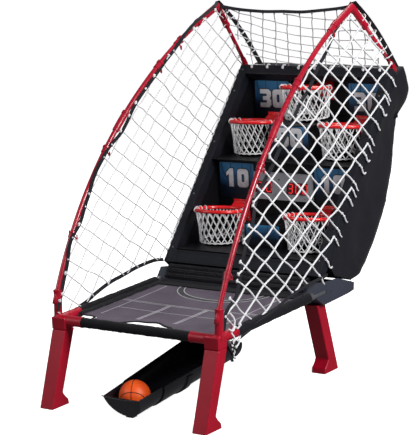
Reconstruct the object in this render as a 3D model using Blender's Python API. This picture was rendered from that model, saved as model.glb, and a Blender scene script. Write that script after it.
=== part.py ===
"""Five-hoop tabletop basketball machine.

Frame: +X to the player's right, +Y away from the player, +Z up, origin on the
floor under the middle of the machine. Metres. Depths are measured from the two
front corner fittings, and heights from the floor.
"""
import math

import bmesh
import bpy
from mathutils import Matrix, Vector

# ---------------------------------------------------------------- dimensions
FRONT_Y = -0.4957           # where depth 0, the front corner fittings, lies
GAP = 0.0003                # left between touching pieces
SHEET = 0.0025              # wall of the thin mouldings

HALF_WIDTH = 0.280          # centre of a corner fitting from the middle
CORNER_Z = 0.240            # axis of the front tube
REAR_BAR_Z = 0.251          # axis of the side tubes at the base
BAR_R = 0.011
TUBE_WALL = 0.0012
STUB_R = 0.015
SLEEVE_R = 0.0135

LEG_WIDTH = 0.048
FRONT_LEG_X = 0.268
REAR_LEG_X = 0.248

BASE_HALF = 0.2856
BASE_WALL = 0.003
BASE_FRONT_D = 0.500
OUTLET = (0.052, 0.5035, 0.677)     # half width, near and far depth
# depth and height round the base's side, and round the hollow that opens upwards
BASE_OUTLINE = (
    (0.474, 0.256), (0.4985, 0.2865), (0.535, 0.2810), (0.604, 0.2780), (0.695, 0.2460),
    (0.693, 0.2230), (0.660, 0.2190), (0.526, 0.2140), (0.488, 0.2400),
)
BASE_HOLLOW = (
    (0.4790, 0.2555), (0.5000, 0.2828), (0.535, 0.2775), (0.545, 0.2765), (0.545, 0.3500),
    (0.688, 0.3500), (0.6890, 0.2265), (0.660, 0.2222), (0.527, 0.2172), (0.4925, 0.2415),
)

BOARD_LEAN = math.radians(40.8)     # from the vertical
BOARD_FOOT = (0.508, 0.3035)        # depth, height of its lower front edge
BOARD_LENGTH = 0.7206
RAIL_WIDTH = 0.028
RAIL_DEPTH = 0.034
BAY_HALF = HALF_WIDTH - RAIL_WIDTH

LOWER_FLOOR_Z = 0.3365
UPPER_FLOOR_Z = 0.5797
TOP_FLOOR_Z = 0.6845
LOWER_BACK_D = 0.7756
UPPER_BACK_D = 0.9940
TOP_BACK_D = 1.0395

CENTRE_HALF = 0.0756        # raised block under the top hoop
CENTRE_D = 0.8176
BAY_TOP_Z = 0.8005          # upper edge of the upper back and its bay
BAY_BOX_HALF = 0.1008
BATTERY_HALF = 0.0672
BATTERY_D = 0.6440
BATTERY_TOP_Z = 0.4120

BALL_R = 0.0444
RIM_R = 0.0772              # to the middle of the rim's bar
RIM_BAR_R = 0.0058
RIM_TILT = math.radians(6.5)        # the front of a rim stands higher than its back
NET_DROP = 0.093
NET_FOOT_R = 0.068
NET_CLOTH = 0.0016
HOLE_R = 0.060
PADDLE_DROP = 0.045         # paddle's pivot below the rim
PADDLE_STAND = 0.012        # paddle's pivot in front of the back panel
PADDLE_SHORT = 0.012        # how far the paddle stops behind the hoop's middle

POLE_R = 0.0075
POLE_ARC_R = 1.4326
POLE_ARC_CENTRE = (1.3002, -0.2946)
POLE_FOOT_X = 0.2831
POLE_FOOT_Z = 0.325
POLE_BOW = 0.014            # how far a pole bows outwards, halfway up
POLE_TIP_Z = 1.027
APEX = (0.244, 0.813, 1.053)
FERRULE_Z = 0.762

TROUGH_SLOPE = math.radians(6.9)
TROUGH_FLARE = 0.0627       # widening to each side per metre of its length
TROUGH_FRONT_D = -0.066
TROUGH_AXIS_Z = 0.0668      # rim height at the front
TROUGH_R = 0.0668
TROUGH_REAR_D = 0.372
TROUGH_NEST = 0.0010        # room between its two halves

CHANNEL_R = 0.052           # inside of the channel under the base and the court
CHANNEL_FRONT_D = 0.345
CHANNEL_REAR_D = 0.6795
CHANNEL_FLOOR_Z = 0.1285    # its floor at the front
CHANNEL_SLOPE = math.radians(4.7)

SCORER_HALF = 0.105
SCORER_FOOT = (0.7500, 0.4650)      # depth and height of its front face's lower edge
SCORER_HEAD = (0.7645, 0.5465)
SCORER_LEAN = math.atan2(SCORER_HEAD[0] - SCORER_FOOT[0], SCORER_HEAD[1] - SCORER_FOOT[1])
# on the scorer's face: left, right, lower and upper edge of each window
WINDOWS = ((-0.096, -0.032, 0.018, 0.057), (0.018, 0.096, 0.018, 0.057))
BUTTON_AT = (-0.0105, 0.020)
BUTTON_R = 0.0065

STRUT_R = 0.0062
STRUT_SOCKET_SHARE = 0.33           # how far down the strut its socket reaches
NET_SHEET = 0.002
BAG_BACK_HALF = 0.276
# up the board's slope, and the depth and height of the bag's back there
BAG_STATIONS = (
    (0.7206, 1.0560, 0.8450),
    (0.6400, 1.0860, 0.7660),
    (0.5800, 1.0600, 0.6900),
    (0.5200, 1.0220, 0.6500),
    (0.4400, 1.0060, 0.5780),
    (0.3200, 0.9550, 0.4600),
    (0.1800, 0.8550, 0.3500),
    (0.0700, 0.7700, 0.2700),
)

# name: (x, depth, height of the rim, depth of the panel behind it)
HOOPS = {
    "low_left": (-0.1624, 0.6586, 0.4418, LOWER_BACK_D),
    "low_right": (0.1624, 0.6586, 0.4418, LOWER_BACK_D),
    "mid_left": (-0.1644, 0.8708, 0.6846, UPPER_BACK_D),
    "mid_right": (0.1644, 0.8708, 0.6846, UPPER_BACK_D),
    "top": (0.0, 0.9209, 0.7907, TOP_BACK_D),
}
SIDES = {"left": -1, "right": 1}


# ------------------------------------------------------------------ helpers
def place(x, depth, height):
    return Vector((x, FRONT_Y + depth, height))


def on_slope(x, along, behind):
    """A point on the board: up its slope from its foot, and behind its face."""
    depth = BOARD_FOOT[0] + along * math.sin(BOARD_LEAN) + behind * math.cos(BOARD_LEAN)
    height = BOARD_FOOT[1] + along * math.cos(BOARD_LEAN) - behind * math.sin(BOARD_LEAN)
    return place(x, depth, height)


def material(name, colour, roughness, metallic=0.0):
    found = bpy.data.materials.get(name)
    if found:
        return found
    made = bpy.data.materials.new(name)
    made.use_nodes = True
    shader = made.node_tree.nodes["Principled BSDF"]
    shader.inputs["Base Color"].default_value = (*colour, 1.0)
    shader.inputs["Roughness"].default_value = roughness
    shader.inputs["Metallic"].default_value = metallic
    return made


def finish(name, shape, look, smooth=False):
    """Turn a bmesh into a named object with its own material."""
    bmesh.ops.recalc_face_normals(shape, faces=shape.faces)
    mesh = bpy.data.meshes.new(name)
    shape.to_mesh(mesh)
    shape.free()
    if smooth:
        mesh.shade_smooth()
        mesh.set_sharp_from_angle(angle=math.radians(40))
    mesh.materials.append(look)
    piece = bpy.data.objects.new(name, mesh)
    bpy.context.collection.objects.link(piece)
    return piece


def cutter(name, shape):
    piece = finish(name, shape, material("guide", (0.5, 0.5, 0.5), 0.5))
    piece.hide_render = True
    piece.display_type = "WIRE"
    return piece


def boolean(piece, tool, operation):
    step = piece.modifiers.new(operation.lower(), "BOOLEAN")
    step.operation = operation
    step.object = tool


def add_box(shape, low, high):
    """A box between two corners."""
    corners = [Vector((x, y, z)) for x in (low[0], high[0])
               for y in (low[1], high[1]) for z in (low[2], high[2])]
    verts = [shape.verts.new(corner) for corner in corners]
    for face in ((0, 1, 3, 2), (4, 6, 7, 5), (0, 4, 5, 1), (2, 3, 7, 6), (0, 2, 6, 4), (1, 5, 7, 3)):
        shape.faces.new([verts[index] for index in face])


def add_prism(shape, outline, x_low, x_high):
    """An outline of depths and heights, extruded across the machine."""
    near = [shape.verts.new(place(x_low, depth, height)) for depth, height in outline]
    far = [shape.verts.new(place(x_high, depth, height)) for depth, height in outline]
    shape.faces.new(near)
    shape.faces.new(list(reversed(far)))
    count = len(outline)
    for index in range(count):
        after = (index + 1) % count
        shape.faces.new((near[index], far[index], far[after], near[after]))


def frame_along(direction):
    """Two unit vectors square to a direction."""
    side = Vector((0, 0, 1)).cross(direction)
    if side.length < 1e-6:
        side = Vector((1, 0, 0))
    side.normalize()
    return side, direction.cross(side).normalized()


def ring_points(centre, direction, radius, sides):
    across, over = frame_along(direction)
    turn = 2 * math.pi / sides
    return [centre + radius * (across * math.cos(turn * step) + over * math.sin(turn * step))
            for step in range(sides)]


def add_sweep(shape, path, radius, sides=12, bore=0.0):
    """A round bar along a path, or a pipe where a bore radius, or one for each point, is given."""
    directions = []
    for index in range(len(path)):
        before = path[max(index - 1, 0)]
        after = path[min(index + 1, len(path) - 1)]
        directions.append((after - before).normalized())

    def skin(sizes):
        rings = []
        for centre, direction, size in zip(path, directions, sizes):
            rings.append([shape.verts.new(point) for point in ring_points(centre, direction, size, sides)])
        for ring, following in zip(rings, rings[1:]):
            for step in range(sides):
                after = (step + 1) % sides
                shape.faces.new((ring[step], ring[after], following[after], following[step]))
        return rings

    outer = skin([radius] * len(path))
    if not bore:
        shape.faces.new(list(reversed(outer[0])))
        shape.faces.new(outer[-1])
        return
    inner = skin(bore if isinstance(bore, list) else [bore] * len(path))
    for end in (0, -1):
        for step in range(sides):
            after = (step + 1) % sides
            shape.faces.new((outer[end][step], inner[end][step], inner[end][after], outer[end][after]))


def tilted(centre, offset):
    """A point of a rim, whose front is tilted up about its middle."""
    return centre + Matrix.Rotation(-RIM_TILT, 3, "X") @ offset


def add_ring(shape, centre, radius, bar_radius, around=32, sides=8):
    """A rim's closed round hoop, tilted as the rims are."""
    rings = []
    for step in range(around):
        angle = 2 * math.pi * step / around
        outward = Vector((math.cos(angle), math.sin(angle), 0))
        ring = []
        for side in range(sides):
            turn = 2 * math.pi * side / sides
            offset = outward * (radius + bar_radius * math.cos(turn))
            offset.z = bar_radius * math.sin(turn)
            ring.append(shape.verts.new(tilted(centre, offset)))
        rings.append(ring)
    for index, ring in enumerate(rings):
        following = rings[(index + 1) % around]
        for side in range(sides):
            after = (side + 1) % sides
            shape.faces.new((ring[side], following[side], following[after], ring[after]))


def pole_point(sign, height, inward=0.0):
    """A point of the pole's arc; inward moves it towards the arc's centre."""
    radius = POLE_ARC_R - inward
    rise = (height - POLE_ARC_CENTRE[1]) * radius / POLE_ARC_R
    depth = POLE_ARC_CENTRE[0] - math.sqrt(radius ** 2 - rise ** 2)
    share = (height - POLE_FOOT_Z) / (APEX[2] - POLE_FOOT_Z)
    x = POLE_FOOT_X + (APEX[0] - POLE_FOOT_X) * share + POLE_BOW * math.sin(math.pi * share)
    return place(sign * x, depth, POLE_ARC_CENTRE[1] + rise)


def pole_path(sign, low, high, count):
    return [pole_point(sign, low + (high - low) * step / count) for step in range(count + 1)]


RED = ((0.42, 0.010, 0.035), 0.35)
BLACK = ((0.012, 0.013, 0.018), 0.45)
GREY = ((0.075, 0.080, 0.105), 0.5)
FABRIC = ((0.015, 0.015, 0.020), 0.85)


# ------------------------------------------------------------- frame and legs
def make_leg(name, x, top, foot, toe_sign):
    """One moulded leg: outer and inner faces lean, and a toe points inwards.

    top and foot are depths of the outer face; toe_sign is the toe's way in depth.
    """
    top_z, top_deep, foot_deep = foot[1], 0.042, 0.056
    toe_z, toe_out = 0.026, 0.020
    outline = [
        (top, top_z),
        (foot[0], 0.0),
        (foot[0] + toe_sign * (foot_deep + toe_out), 0.0),
        (foot[0] + toe_sign * (foot_deep + toe_out - 0.004), toe_z * 0.55),
        (foot[0] + toe_sign * (foot_deep - 0.002), toe_z + 0.012),
        (top + toe_sign * top_deep, top_z),
    ]
    shape = bmesh.new()
    add_prism(shape, outline, x - LEG_WIDTH / 2, x + LEG_WIDTH / 2)
    leg = finish(name, shape, material("leg", *RED))
    edge = leg.modifiers.new("rounded_edges", "BEVEL")
    edge.width = 0.004
    edge.segments = 1
    edge.limit_method = "ANGLE"
    edge.angle_limit = math.radians(50)


def make_legs():
    for side, sign in SIDES.items():
        make_leg(f"front_leg_{side}", sign * FRONT_LEG_X, -0.018, (-0.0966, 0.2145), 1)
        make_leg(f"rear_leg_{side}", sign * REAR_LEG_X, 0.5520, (0.6100, 0.2137), -1)


def make_corner(side, sign):
    """Three-way fitting: leg cap, two tube sockets and the pole's socket."""
    shape = bmesh.new()
    x_in, x_out = sorted((sign * (FRONT_LEG_X - 0.025), sign * (FRONT_LEG_X + 0.025)))
    add_box(shape, place(x_in, -0.021, 0.2150), place(x_out, 0.027, 0.2560))
    corner = finish(f"corner_{side}", shape, material("fitting", *RED), smooth=True)

    front_axis = [place(sign * 0.286, 0.0, CORNER_Z), place(sign * 0.190, 0.0, CORNER_Z)]
    side_axis = [place(sign * HALF_WIDTH, -0.010, CORNER_Z - 0.0002), side_bar_point(sign, 0.085)]
    pole_axis = [place(sign * 0.2815, 0.0005, 0.2400), pole_point(sign, POLE_FOOT_Z)]
    for label, axis, radius in (("front_stub", front_axis, STUB_R), ("side_stub", side_axis, STUB_R),
                                ("pole_socket", pole_axis, 0.0120)):
        shape = bmesh.new()
        add_sweep(shape, axis, radius, 16)
        boolean(corner, cutter(f"{label}_{side}_guide", shape), "UNION")

    front_bore = [place(sign * 0.235, 0.0, CORNER_Z), place(sign * 0.180, 0.0, CORNER_Z)]
    side_bore = [side_bar_point(sign, 0.030), side_bar_point(sign, 0.095)]
    pole_bore = [pole_point(sign, 0.285), pole_point(sign, 0.345)]
    for label, axis, radius in (("front_bore", front_bore, BAR_R + GAP),
                                ("side_bore", side_bore, BAR_R + GAP),
                                ("pole_bore", pole_bore, POLE_R + 2 * GAP)):
        shape = bmesh.new()
        add_sweep(shape, axis, radius, 16)
        boolean(corner, cutter(f"{label}_{side}_guide", shape), "DIFFERENCE")


def side_bar_point(sign, depth):
    rise = (REAR_BAR_Z - CORNER_Z) / BASE_FRONT_D
    return place(sign * HALF_WIDTH * 0.985, depth, CORNER_Z + rise * depth)


def make_bars():
    look = material("bare_steel", (0.55, 0.55, 0.57), 0.3, 1.0)
    shape = bmesh.new()
    add_sweep(shape, [place(-0.234, 0, CORNER_Z), place(0.234, 0, CORNER_Z)], BAR_R, 16, BAR_R - TUBE_WALL)
    finish("front_bar", shape, look, smooth=True)
    for side, sign in SIDES.items():
        shape = bmesh.new()
        axis = [side_bar_point(sign, 0.031), side_bar_point(sign, 0.535)]
        add_sweep(shape, axis, BAR_R, 16, BAR_R - TUBE_WALL)
        finish(f"side_bar_{side}", shape, look, smooth=True)


def make_court():
    """Stretched court: a sleeve on each tube, and the playing cloth between them."""
    wall = SLEEVE_R - BAR_R - GAP
    reach = BAR_R + GAP + wall / 2
    notch_x, notch_d = 0.186, 0.092
    half = HALF_WIDTH * 0.985 - reach
    rear, lift = 0.470, 0.0012
    rise = (REAR_BAR_Z - CORNER_Z) / BASE_FRONT_D
    outline = [(-notch_x, reach), (notch_x, reach), (notch_x, notch_d), (half, notch_d), (half, rear),
               (-half, rear), (-half, notch_d), (-notch_x, notch_d)]
    shape = bmesh.new()
    low = [shape.verts.new(place(x, depth, CORNER_Z + rise * depth)) for x, depth in outline]
    high = [shape.verts.new(place(x, depth, CORNER_Z + rise * depth + lift)) for x, depth in outline]
    shape.faces.new(low)
    shape.faces.new(list(reversed(high)))
    for index in range(len(outline)):
        after = (index + 1) % len(outline)
        shape.faces.new((low[index], high[index], high[after], low[after]))
    court = finish("court_fabric", shape, material("court_fabric", (0.10, 0.085, 0.115), 0.8))

    sleeves = {"front": [place(-0.188, 0, CORNER_Z), place(0.188, 0, CORNER_Z)]}
    for side, sign in SIDES.items():
        sleeves[side] = [side_bar_point(sign, 0.088), side_bar_point(sign, 0.425)]
    for label, axis in sleeves.items():
        shape = bmesh.new()
        add_sweep(shape, axis, SLEEVE_R, 16, BAR_R + GAP)
        boolean(court, cutter(f"sleeve_{label}_guide", shape), "UNION")


# --------------------------------------------------------------------- base
def make_base():
    shape = bmesh.new()
    add_prism(shape, BASE_OUTLINE, -BASE_HALF, BASE_HALF)
    base = finish("base_tray", shape, material("base", *GREY))
    shape = bmesh.new()
    add_prism(shape, BASE_HOLLOW, -BASE_HALF + BASE_WALL, BASE_HALF - BASE_WALL)
    boolean(base, cutter("base_hollow_guide", shape), "DIFFERENCE")
    shape = bmesh.new()
    half, near, far = OUTLET
    add_box(shape, place(-half, near, 0.200), place(half, far, 0.240))
    boolean(base, cutter("base_outlet_guide", shape), "DIFFERENCE")
    for side, sign in SIDES.items():
        shape = bmesh.new()
        add_sweep(shape, [side_bar_point(sign, 0.440), side_bar_point(sign, 0.540)], BAR_R + GAP, 16)
        boolean(base, cutter(f"base_socket_{side}_guide", shape), "DIFFERENCE")

    inner, outer = 0.0575, BASE_HALF - BASE_WALL - 0.001
    low, high, thick = 0.2275, 0.2490, 0.002
    near_end, far_end = 0.555, 0.687
    profile = [(-outer, high), (-inner, low), (inner, low), (outer, high),
               (outer, high + thick), (inner, low + thick), (-inner, low + thick), (-outer, high + thick)]
    shape = bmesh.new()
    near = [shape.verts.new(place(x, near_end, z)) for x, z in profile]
    far = [shape.verts.new(place(x, far_end, z)) for x, z in profile]
    shape.faces.new(near)
    shape.faces.new(list(reversed(far)))
    for index in range(len(profile)):
        after = (index + 1) % len(profile)
        shape.faces.new((near[index], far[index], far[after], near[after]))
    ramp = finish("ball_ramp", shape, material("base", *GREY))
    shape = bmesh.new()
    add_box(shape, place(-half, near_end - 0.010, 0.200), place(half, OUTLET[2], 0.260))
    boolean(ramp, cutter("ramp_outlet_guide", shape), "DIFFERENCE")


def channel_ring(shape, depth, top, radius, sides=14):
    """One U-shaped section of the return channel, from its left rim to its right."""
    axis = CHANNEL_FLOOR_Z + (depth - CHANNEL_FRONT_D) * math.tan(CHANNEL_SLOPE) + CHANNEL_R
    spots = [(-radius, top)]
    for step in range(sides + 1):
        angle = math.pi + math.pi * step / sides
        spots.append((radius * math.cos(angle), axis + radius * math.sin(angle)))
    spots.append((radius, top))
    return [shape.verts.new(place(x, depth, height)) for x, height in spots]


def make_return_channel():
    """Round-bottomed channel that takes balls from the base's outlet forward to the trough."""
    rims = ((CHANNEL_FRONT_D, 0.1845), (0.500, 0.1970), (0.527, 0.2137),
            (0.660, 0.2187), (CHANNEL_REAR_D, 0.2210))
    shape = bmesh.new()
    outer = [channel_ring(shape, depth, top, CHANNEL_R + SHEET) for depth, top in rims]
    inner = [channel_ring(shape, depth, top, CHANNEL_R) for depth, top in rims[:-1]]
    inner.append(channel_ring(shape, CHANNEL_REAR_D - SHEET, rims[-1][1], CHANNEL_R))
    last = len(outer[0]) - 1
    for rows in (outer, inner):
        for row, following in zip(rows, rows[1:]):
            for step in range(last):
                shape.faces.new((row[step], row[step + 1], following[step + 1], following[step]))
    for edge in (0, last):
        for index in range(len(outer) - 1):
            shape.faces.new((outer[index][edge], outer[index + 1][edge],
                             inner[index + 1][edge], inner[index][edge]))
    for step in range(last):
        shape.faces.new((outer[0][step], inner[0][step], inner[0][step + 1], outer[0][step + 1]))
    shape.faces.new(outer[-1])
    shape.faces.new(inner[-1])
    shape.faces.new((outer[-1][0], inner[-1][0], inner[-1][last], outer[-1][last]))
    finish("return_channel", shape, material("black_plastic", *BLACK))


def make_hinge_strip():
    """Ribbed strip that closes the joint between the base and the board."""
    steps = 3
    foot, head = (0.4715, 0.2605), (0.5040, 0.2985)
    outline = [foot]
    for step in range(steps):
        share = (step + 1) / steps
        depth = foot[0] + (head[0] - foot[0]) * share
        height = foot[1] + (head[1] - foot[1]) * share
        before = outline[-1]
        outline.append((before[0], height - 0.003))
        outline.append((depth, height))
    outline += [(0.5205, 0.2843), (0.4985, 0.2876)]
    shape = bmesh.new()
    add_prism(shape, outline, -BAY_HALF, BAY_HALF)
    finish("hinge_strip", shape, material("black_plastic", *BLACK))


# ------------------------------------------------------------------- trough
def trough_point(x, along, up):
    """A point in the trough's own frame: along and square to its slope."""
    depth = TROUGH_FRONT_D + along * math.cos(TROUGH_SLOPE) - up * math.sin(TROUGH_SLOPE)
    height = TROUGH_AXIS_Z + along * math.sin(TROUGH_SLOPE) + up * math.cos(TROUGH_SLOPE)
    return place(x, depth, height)


def add_channel(shape, start, end, outer, inner, front_lean=0.0, front_wall=0.0, rear_wall=0.0, short=0.0):
    """A flared half pipe, open on top, with end walls where given; short is an angle left off each rim."""
    sides = 14

    def arc(radius, along, lean):
        ring = []
        for step in range(sides + 1):
            angle = math.pi + short + (math.pi - 2 * short) * step / sides
            up = radius * math.sin(angle)
            reach = along - lean * (up + radius)
            half = radius + TROUGH_FLARE * reach
            ring.append(shape.verts.new(trough_point(half * math.cos(angle), reach, up)))
        return ring

    outer_near = arc(outer, start, front_lean)
    outer_far = arc(outer, end, 0.0)
    inner_near = arc(inner, start + front_wall, front_lean)
    inner_far = arc(inner, end - rear_wall, 0.0)
    for step in range(sides):
        shape.faces.new((outer_near[step], outer_near[step + 1], outer_far[step + 1], outer_far[step]))
        shape.faces.new((inner_near[step], inner_far[step], inner_far[step + 1], inner_near[step + 1]))
    for edge in (0, -1):
        shape.faces.new((outer_near[edge], outer_far[edge], inner_far[edge], inner_near[edge]))
    for wall, outside, inside in ((front_wall, outer_near, inner_near), (rear_wall, outer_far, inner_far)):
        if wall:
            shape.faces.new(outside)
            shape.faces.new(inside)
            shape.faces.new((outside[0], inside[0], inside[-1], outside[-1]))
        else:
            for step in range(sides):
                shape.faces.new((outside[step], inside[step], inside[step + 1], outside[step + 1]))


def make_trough():
    look = material("black_plastic", *BLACK)
    length = (TROUGH_REAR_D - TROUGH_FRONT_D) / math.cos(TROUGH_SLOPE)
    front_outer = TROUGH_R - SHEET - TROUGH_NEST
    shape = bmesh.new()
    add_channel(shape, 0.0, 0.240, front_outer, front_outer - SHEET, front_lean=0.35, front_wall=SHEET)
    front = finish("trough_front", shape, look, smooth=True)
    shape = bmesh.new()
    add_box(shape, place(-0.012, -0.055, 0.0002), place(0.012, -0.035, 0.0058))
    boolean(front, cutter("front_pad_guide", shape), "UNION")
    shape = bmesh.new()
    add_channel(shape, 0.085, length, TROUGH_R, TROUGH_R - SHEET, rear_wall=SHEET)
    rear = finish("trough_rear", shape, look, smooth=True)

    saddle_at, saddle_long = 0.185, 0.024
    shape = bmesh.new()
    saddle_outer = TROUGH_R + 0.0045
    add_channel(shape, saddle_at, saddle_at + saddle_long, saddle_outer, TROUGH_R - SHEET / 2, short=0.15)
    boolean(rear, cutter("saddle_guide", shape), "UNION")
    shape = bmesh.new()
    add_box(shape, place(-0.014, TROUGH_REAR_D - 0.024, 0.0002),
            place(0.014, TROUGH_REAR_D - 0.008, 0.0520))
    boolean(rear, cutter("rear_foot_guide", shape), "UNION")
    shape = bmesh.new()
    add_box(shape, place(-0.012, TROUGH_REAR_D - 0.0023, 0.1100),
            place(0.012, TROUGH_REAR_D - 0.0002, 0.1277))
    boolean(rear, cutter("hanger_guide", shape), "UNION")


def make_ball():
    along = 0.040
    up = -(TROUGH_R - 2 * SHEET - TROUGH_NEST) + BALL_R + GAP
    shape = bmesh.new()
    bmesh.ops.create_uvsphere(shape, u_segments=20, v_segments=12, radius=BALL_R)
    ball = finish("ball", shape, material("ball", (0.83, 0.17, 0.012), 0.5), smooth=True)
    ball.location = trough_point(0, along, up)


# -------------------------------------------------------------------- board
def make_rails():
    look = material("board", *BLACK)
    for side, sign in SIDES.items():
        shape = bmesh.new()
        add_slope_box(shape, sign * (BAY_HALF + GAP), sign * HALF_WIDTH, 0.0, BOARD_LENGTH, 0.0, RAIL_DEPTH)
        finish(f"side_rail_{side}", shape, look)
    shape = bmesh.new()
    add_slope_box(shape, -BAY_HALF, BAY_HALF, BOARD_LENGTH - 0.034, BOARD_LENGTH, 0.0, RAIL_DEPTH)
    finish("top_rail", shape, look)
    shape = bmesh.new()
    add_slope_box(shape, -BAY_HALF, BAY_HALF, 0.0, 0.0430, 0.0, RAIL_DEPTH)
    finish("bottom_rail", shape, look)


def add_slope_box(shape, x_low, x_high, low, high, front, rear):
    corners = [(low, front), (high, front), (high, rear), (low, rear)]
    near = [shape.verts.new(on_slope(x_low, along, behind)) for along, behind in corners]
    far = [shape.verts.new(on_slope(x_high, along, behind)) for along, behind in corners]
    shape.faces.new(near)
    shape.faces.new(list(reversed(far)))
    for index in range(4):
        after = (index + 1) % 4
        shape.faces.new((near[index], far[index], far[after], near[after]))


def make_side_walls():
    """Stepped cheeks behind the side rails, which close the cells' sides."""
    behind = RAIL_DEPTH + GAP
    foot = on_slope(0, 0.043, behind)
    head = on_slope(0, BOARD_LENGTH - 0.006, behind)
    outline = [
        (foot.y - FRONT_Y, foot.z),
        (head.y - FRONT_Y, head.z),
        (TOP_BACK_D + SHEET, head.z),
        (TOP_BACK_D + SHEET, TOP_FLOOR_Z + 0.003),
        (UPPER_BACK_D + SHEET, TOP_FLOOR_Z + 0.003),
        (UPPER_BACK_D + SHEET, UPPER_FLOOR_Z),
        (LOWER_BACK_D + SHEET, UPPER_FLOOR_Z - 0.035),
        (LOWER_BACK_D + SHEET, foot.z),
    ]
    for side, sign in SIDES.items():
        shape = bmesh.new()
        add_prism(shape, outline, sign * (BAY_HALF + GAP), sign * (BAY_HALF + GAP + SHEET))
        finish(f"side_wall_{side}", shape, material("board", *BLACK))


def slope_depth(height):
    return BOARD_FOOT[0] + (height - BOARD_FOOT[1]) * math.tan(BOARD_LEAN)


def round_holes(piece, label, centres, height):
    for index, (x, depth) in enumerate(centres):
        shape = bmesh.new()
        add_sweep(shape, [place(x, depth, height - 0.02), place(x, depth, height + 0.02)], HOLE_R, 28)
        boolean(piece, cutter(f"{label}_hole_{index}_guide", shape), "DIFFERENCE")


def make_shelves():
    look = material("board", *BLACK)
    low, mid, top = HOOPS["low_right"], HOOPS["mid_right"], HOOPS["top"]

    shape = bmesh.new()
    near = slope_depth(LOWER_FLOOR_Z) + 0.0035
    add_box(shape, place(-BAY_HALF, near, LOWER_FLOOR_Z),
            place(BAY_HALF, LOWER_BACK_D + SHEET, LOWER_FLOOR_Z + SHEET))
    lower = finish("lower_floor", shape, look)
    round_holes(lower, "lower", [(-low[0], low[1]), (low[0], low[1])], LOWER_FLOOR_Z)

    shape = bmesh.new()
    near = slope_depth(UPPER_FLOOR_Z) + 0.0035
    add_box(shape, place(-BAY_HALF, near, UPPER_FLOOR_Z + GAP),
            place(BAY_HALF, UPPER_BACK_D + SHEET, UPPER_FLOOR_Z + SHEET))
    upper = finish("upper_floor", shape, look)
    round_holes(upper, "upper", [(-mid[0], mid[1]), (mid[0], mid[1]), (0.0, top[1])], UPPER_FLOOR_Z)


def make_backs():
    look = material("board", *BLACK)
    shape = bmesh.new()
    add_box(shape, place(-BAY_HALF, LOWER_BACK_D, LOWER_FLOOR_Z + SHEET + GAP),
            place(BAY_HALF, LOWER_BACK_D + SHEET, UPPER_FLOOR_Z - GAP))
    finish("lower_back", shape, look)

    floor = UPPER_FLOOR_Z + SHEET + GAP
    shape = bmesh.new()
    add_box(shape, place(-BAY_HALF, UPPER_BACK_D, floor), place(BAY_HALF, UPPER_BACK_D + SHEET, BAY_TOP_Z))
    back = finish("upper_back", shape, look)
    shape = bmesh.new()
    add_box(shape, place(-BAY_BOX_HALF - SHEET, UPPER_BACK_D + SHEET / 2, TOP_FLOOR_Z),
            place(BAY_BOX_HALF + SHEET, TOP_BACK_D + SHEET, BAY_TOP_Z))
    boolean(back, cutter("bay_guide", shape), "UNION")
    shape = bmesh.new()
    add_box(shape, place(-BAY_BOX_HALF, UPPER_BACK_D - 0.01, TOP_FLOOR_Z + SHEET),
            place(BAY_BOX_HALF, TOP_BACK_D, BAY_TOP_Z + 0.01))
    boolean(back, cutter("bay_hollow_guide", shape), "DIFFERENCE")


def make_centre_blocks():
    """The raised block under the top hoop, and the battery block low in the middle."""
    look = material("board", *BLACK)
    floor = UPPER_FLOOR_Z + SHEET + GAP
    top = HOOPS["top"]
    shape = bmesh.new()
    rear = UPPER_BACK_D - GAP
    add_box(shape, place(-CENTRE_HALF, CENTRE_D, floor), place(CENTRE_HALF, rear, TOP_FLOOR_Z + SHEET))
    block = finish("centre_block", shape, look)
    shape = bmesh.new()
    add_box(shape, place(-CENTRE_HALF + SHEET, CENTRE_D + SHEET, floor - 0.01),
            place(CENTRE_HALF - SHEET, rear + 0.01, TOP_FLOOR_Z))
    boolean(block, cutter("centre_hollow_guide", shape), "DIFFERENCE")
    round_holes(block, "centre", [(0.0, top[1])], TOP_FLOOR_Z)

    low_z = LOWER_FLOOR_Z + SHEET + GAP
    shape = bmesh.new()
    add_box(shape, place(-BATTERY_HALF, BATTERY_D, low_z),
            place(BATTERY_HALF, LOWER_BACK_D - GAP, BATTERY_TOP_Z))
    box = finish("battery_block", shape, look)
    shape = bmesh.new()
    add_box(shape, place(-BATTERY_HALF + SHEET, BATTERY_D + SHEET, low_z - 0.01),
            place(BATTERY_HALF - SHEET, LOWER_BACK_D + 0.01, BATTERY_TOP_Z - SHEET))
    boolean(box, cutter("battery_hollow_guide", shape), "DIFFERENCE")


# ------------------------------------------------------------------- scorer
def scorer_point(x, up, deep):
    """A point on the scorer: up its leaning face, and deep behind it."""
    depth = SCORER_FOOT[0] + up * math.sin(SCORER_LEAN) + deep * math.cos(SCORER_LEAN)
    height = SCORER_FOOT[1] + up * math.cos(SCORER_LEAN) - deep * math.sin(SCORER_LEAN)
    return place(x, depth, height)


def add_scorer_box(shape, x_low, x_high, low, high, front, rear):
    corners = [(low, front), (high, front), (high, rear), (low, rear)]
    near = [shape.verts.new(scorer_point(x_low, up, deep)) for up, deep in corners]
    far = [shape.verts.new(scorer_point(x_high, up, deep)) for up, deep in corners]
    shape.faces.new(near)
    shape.faces.new(list(reversed(far)))
    for index in range(4):
        after = (index + 1) % 4
        shape.faces.new((near[index], far[index], far[after], near[after]))


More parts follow.
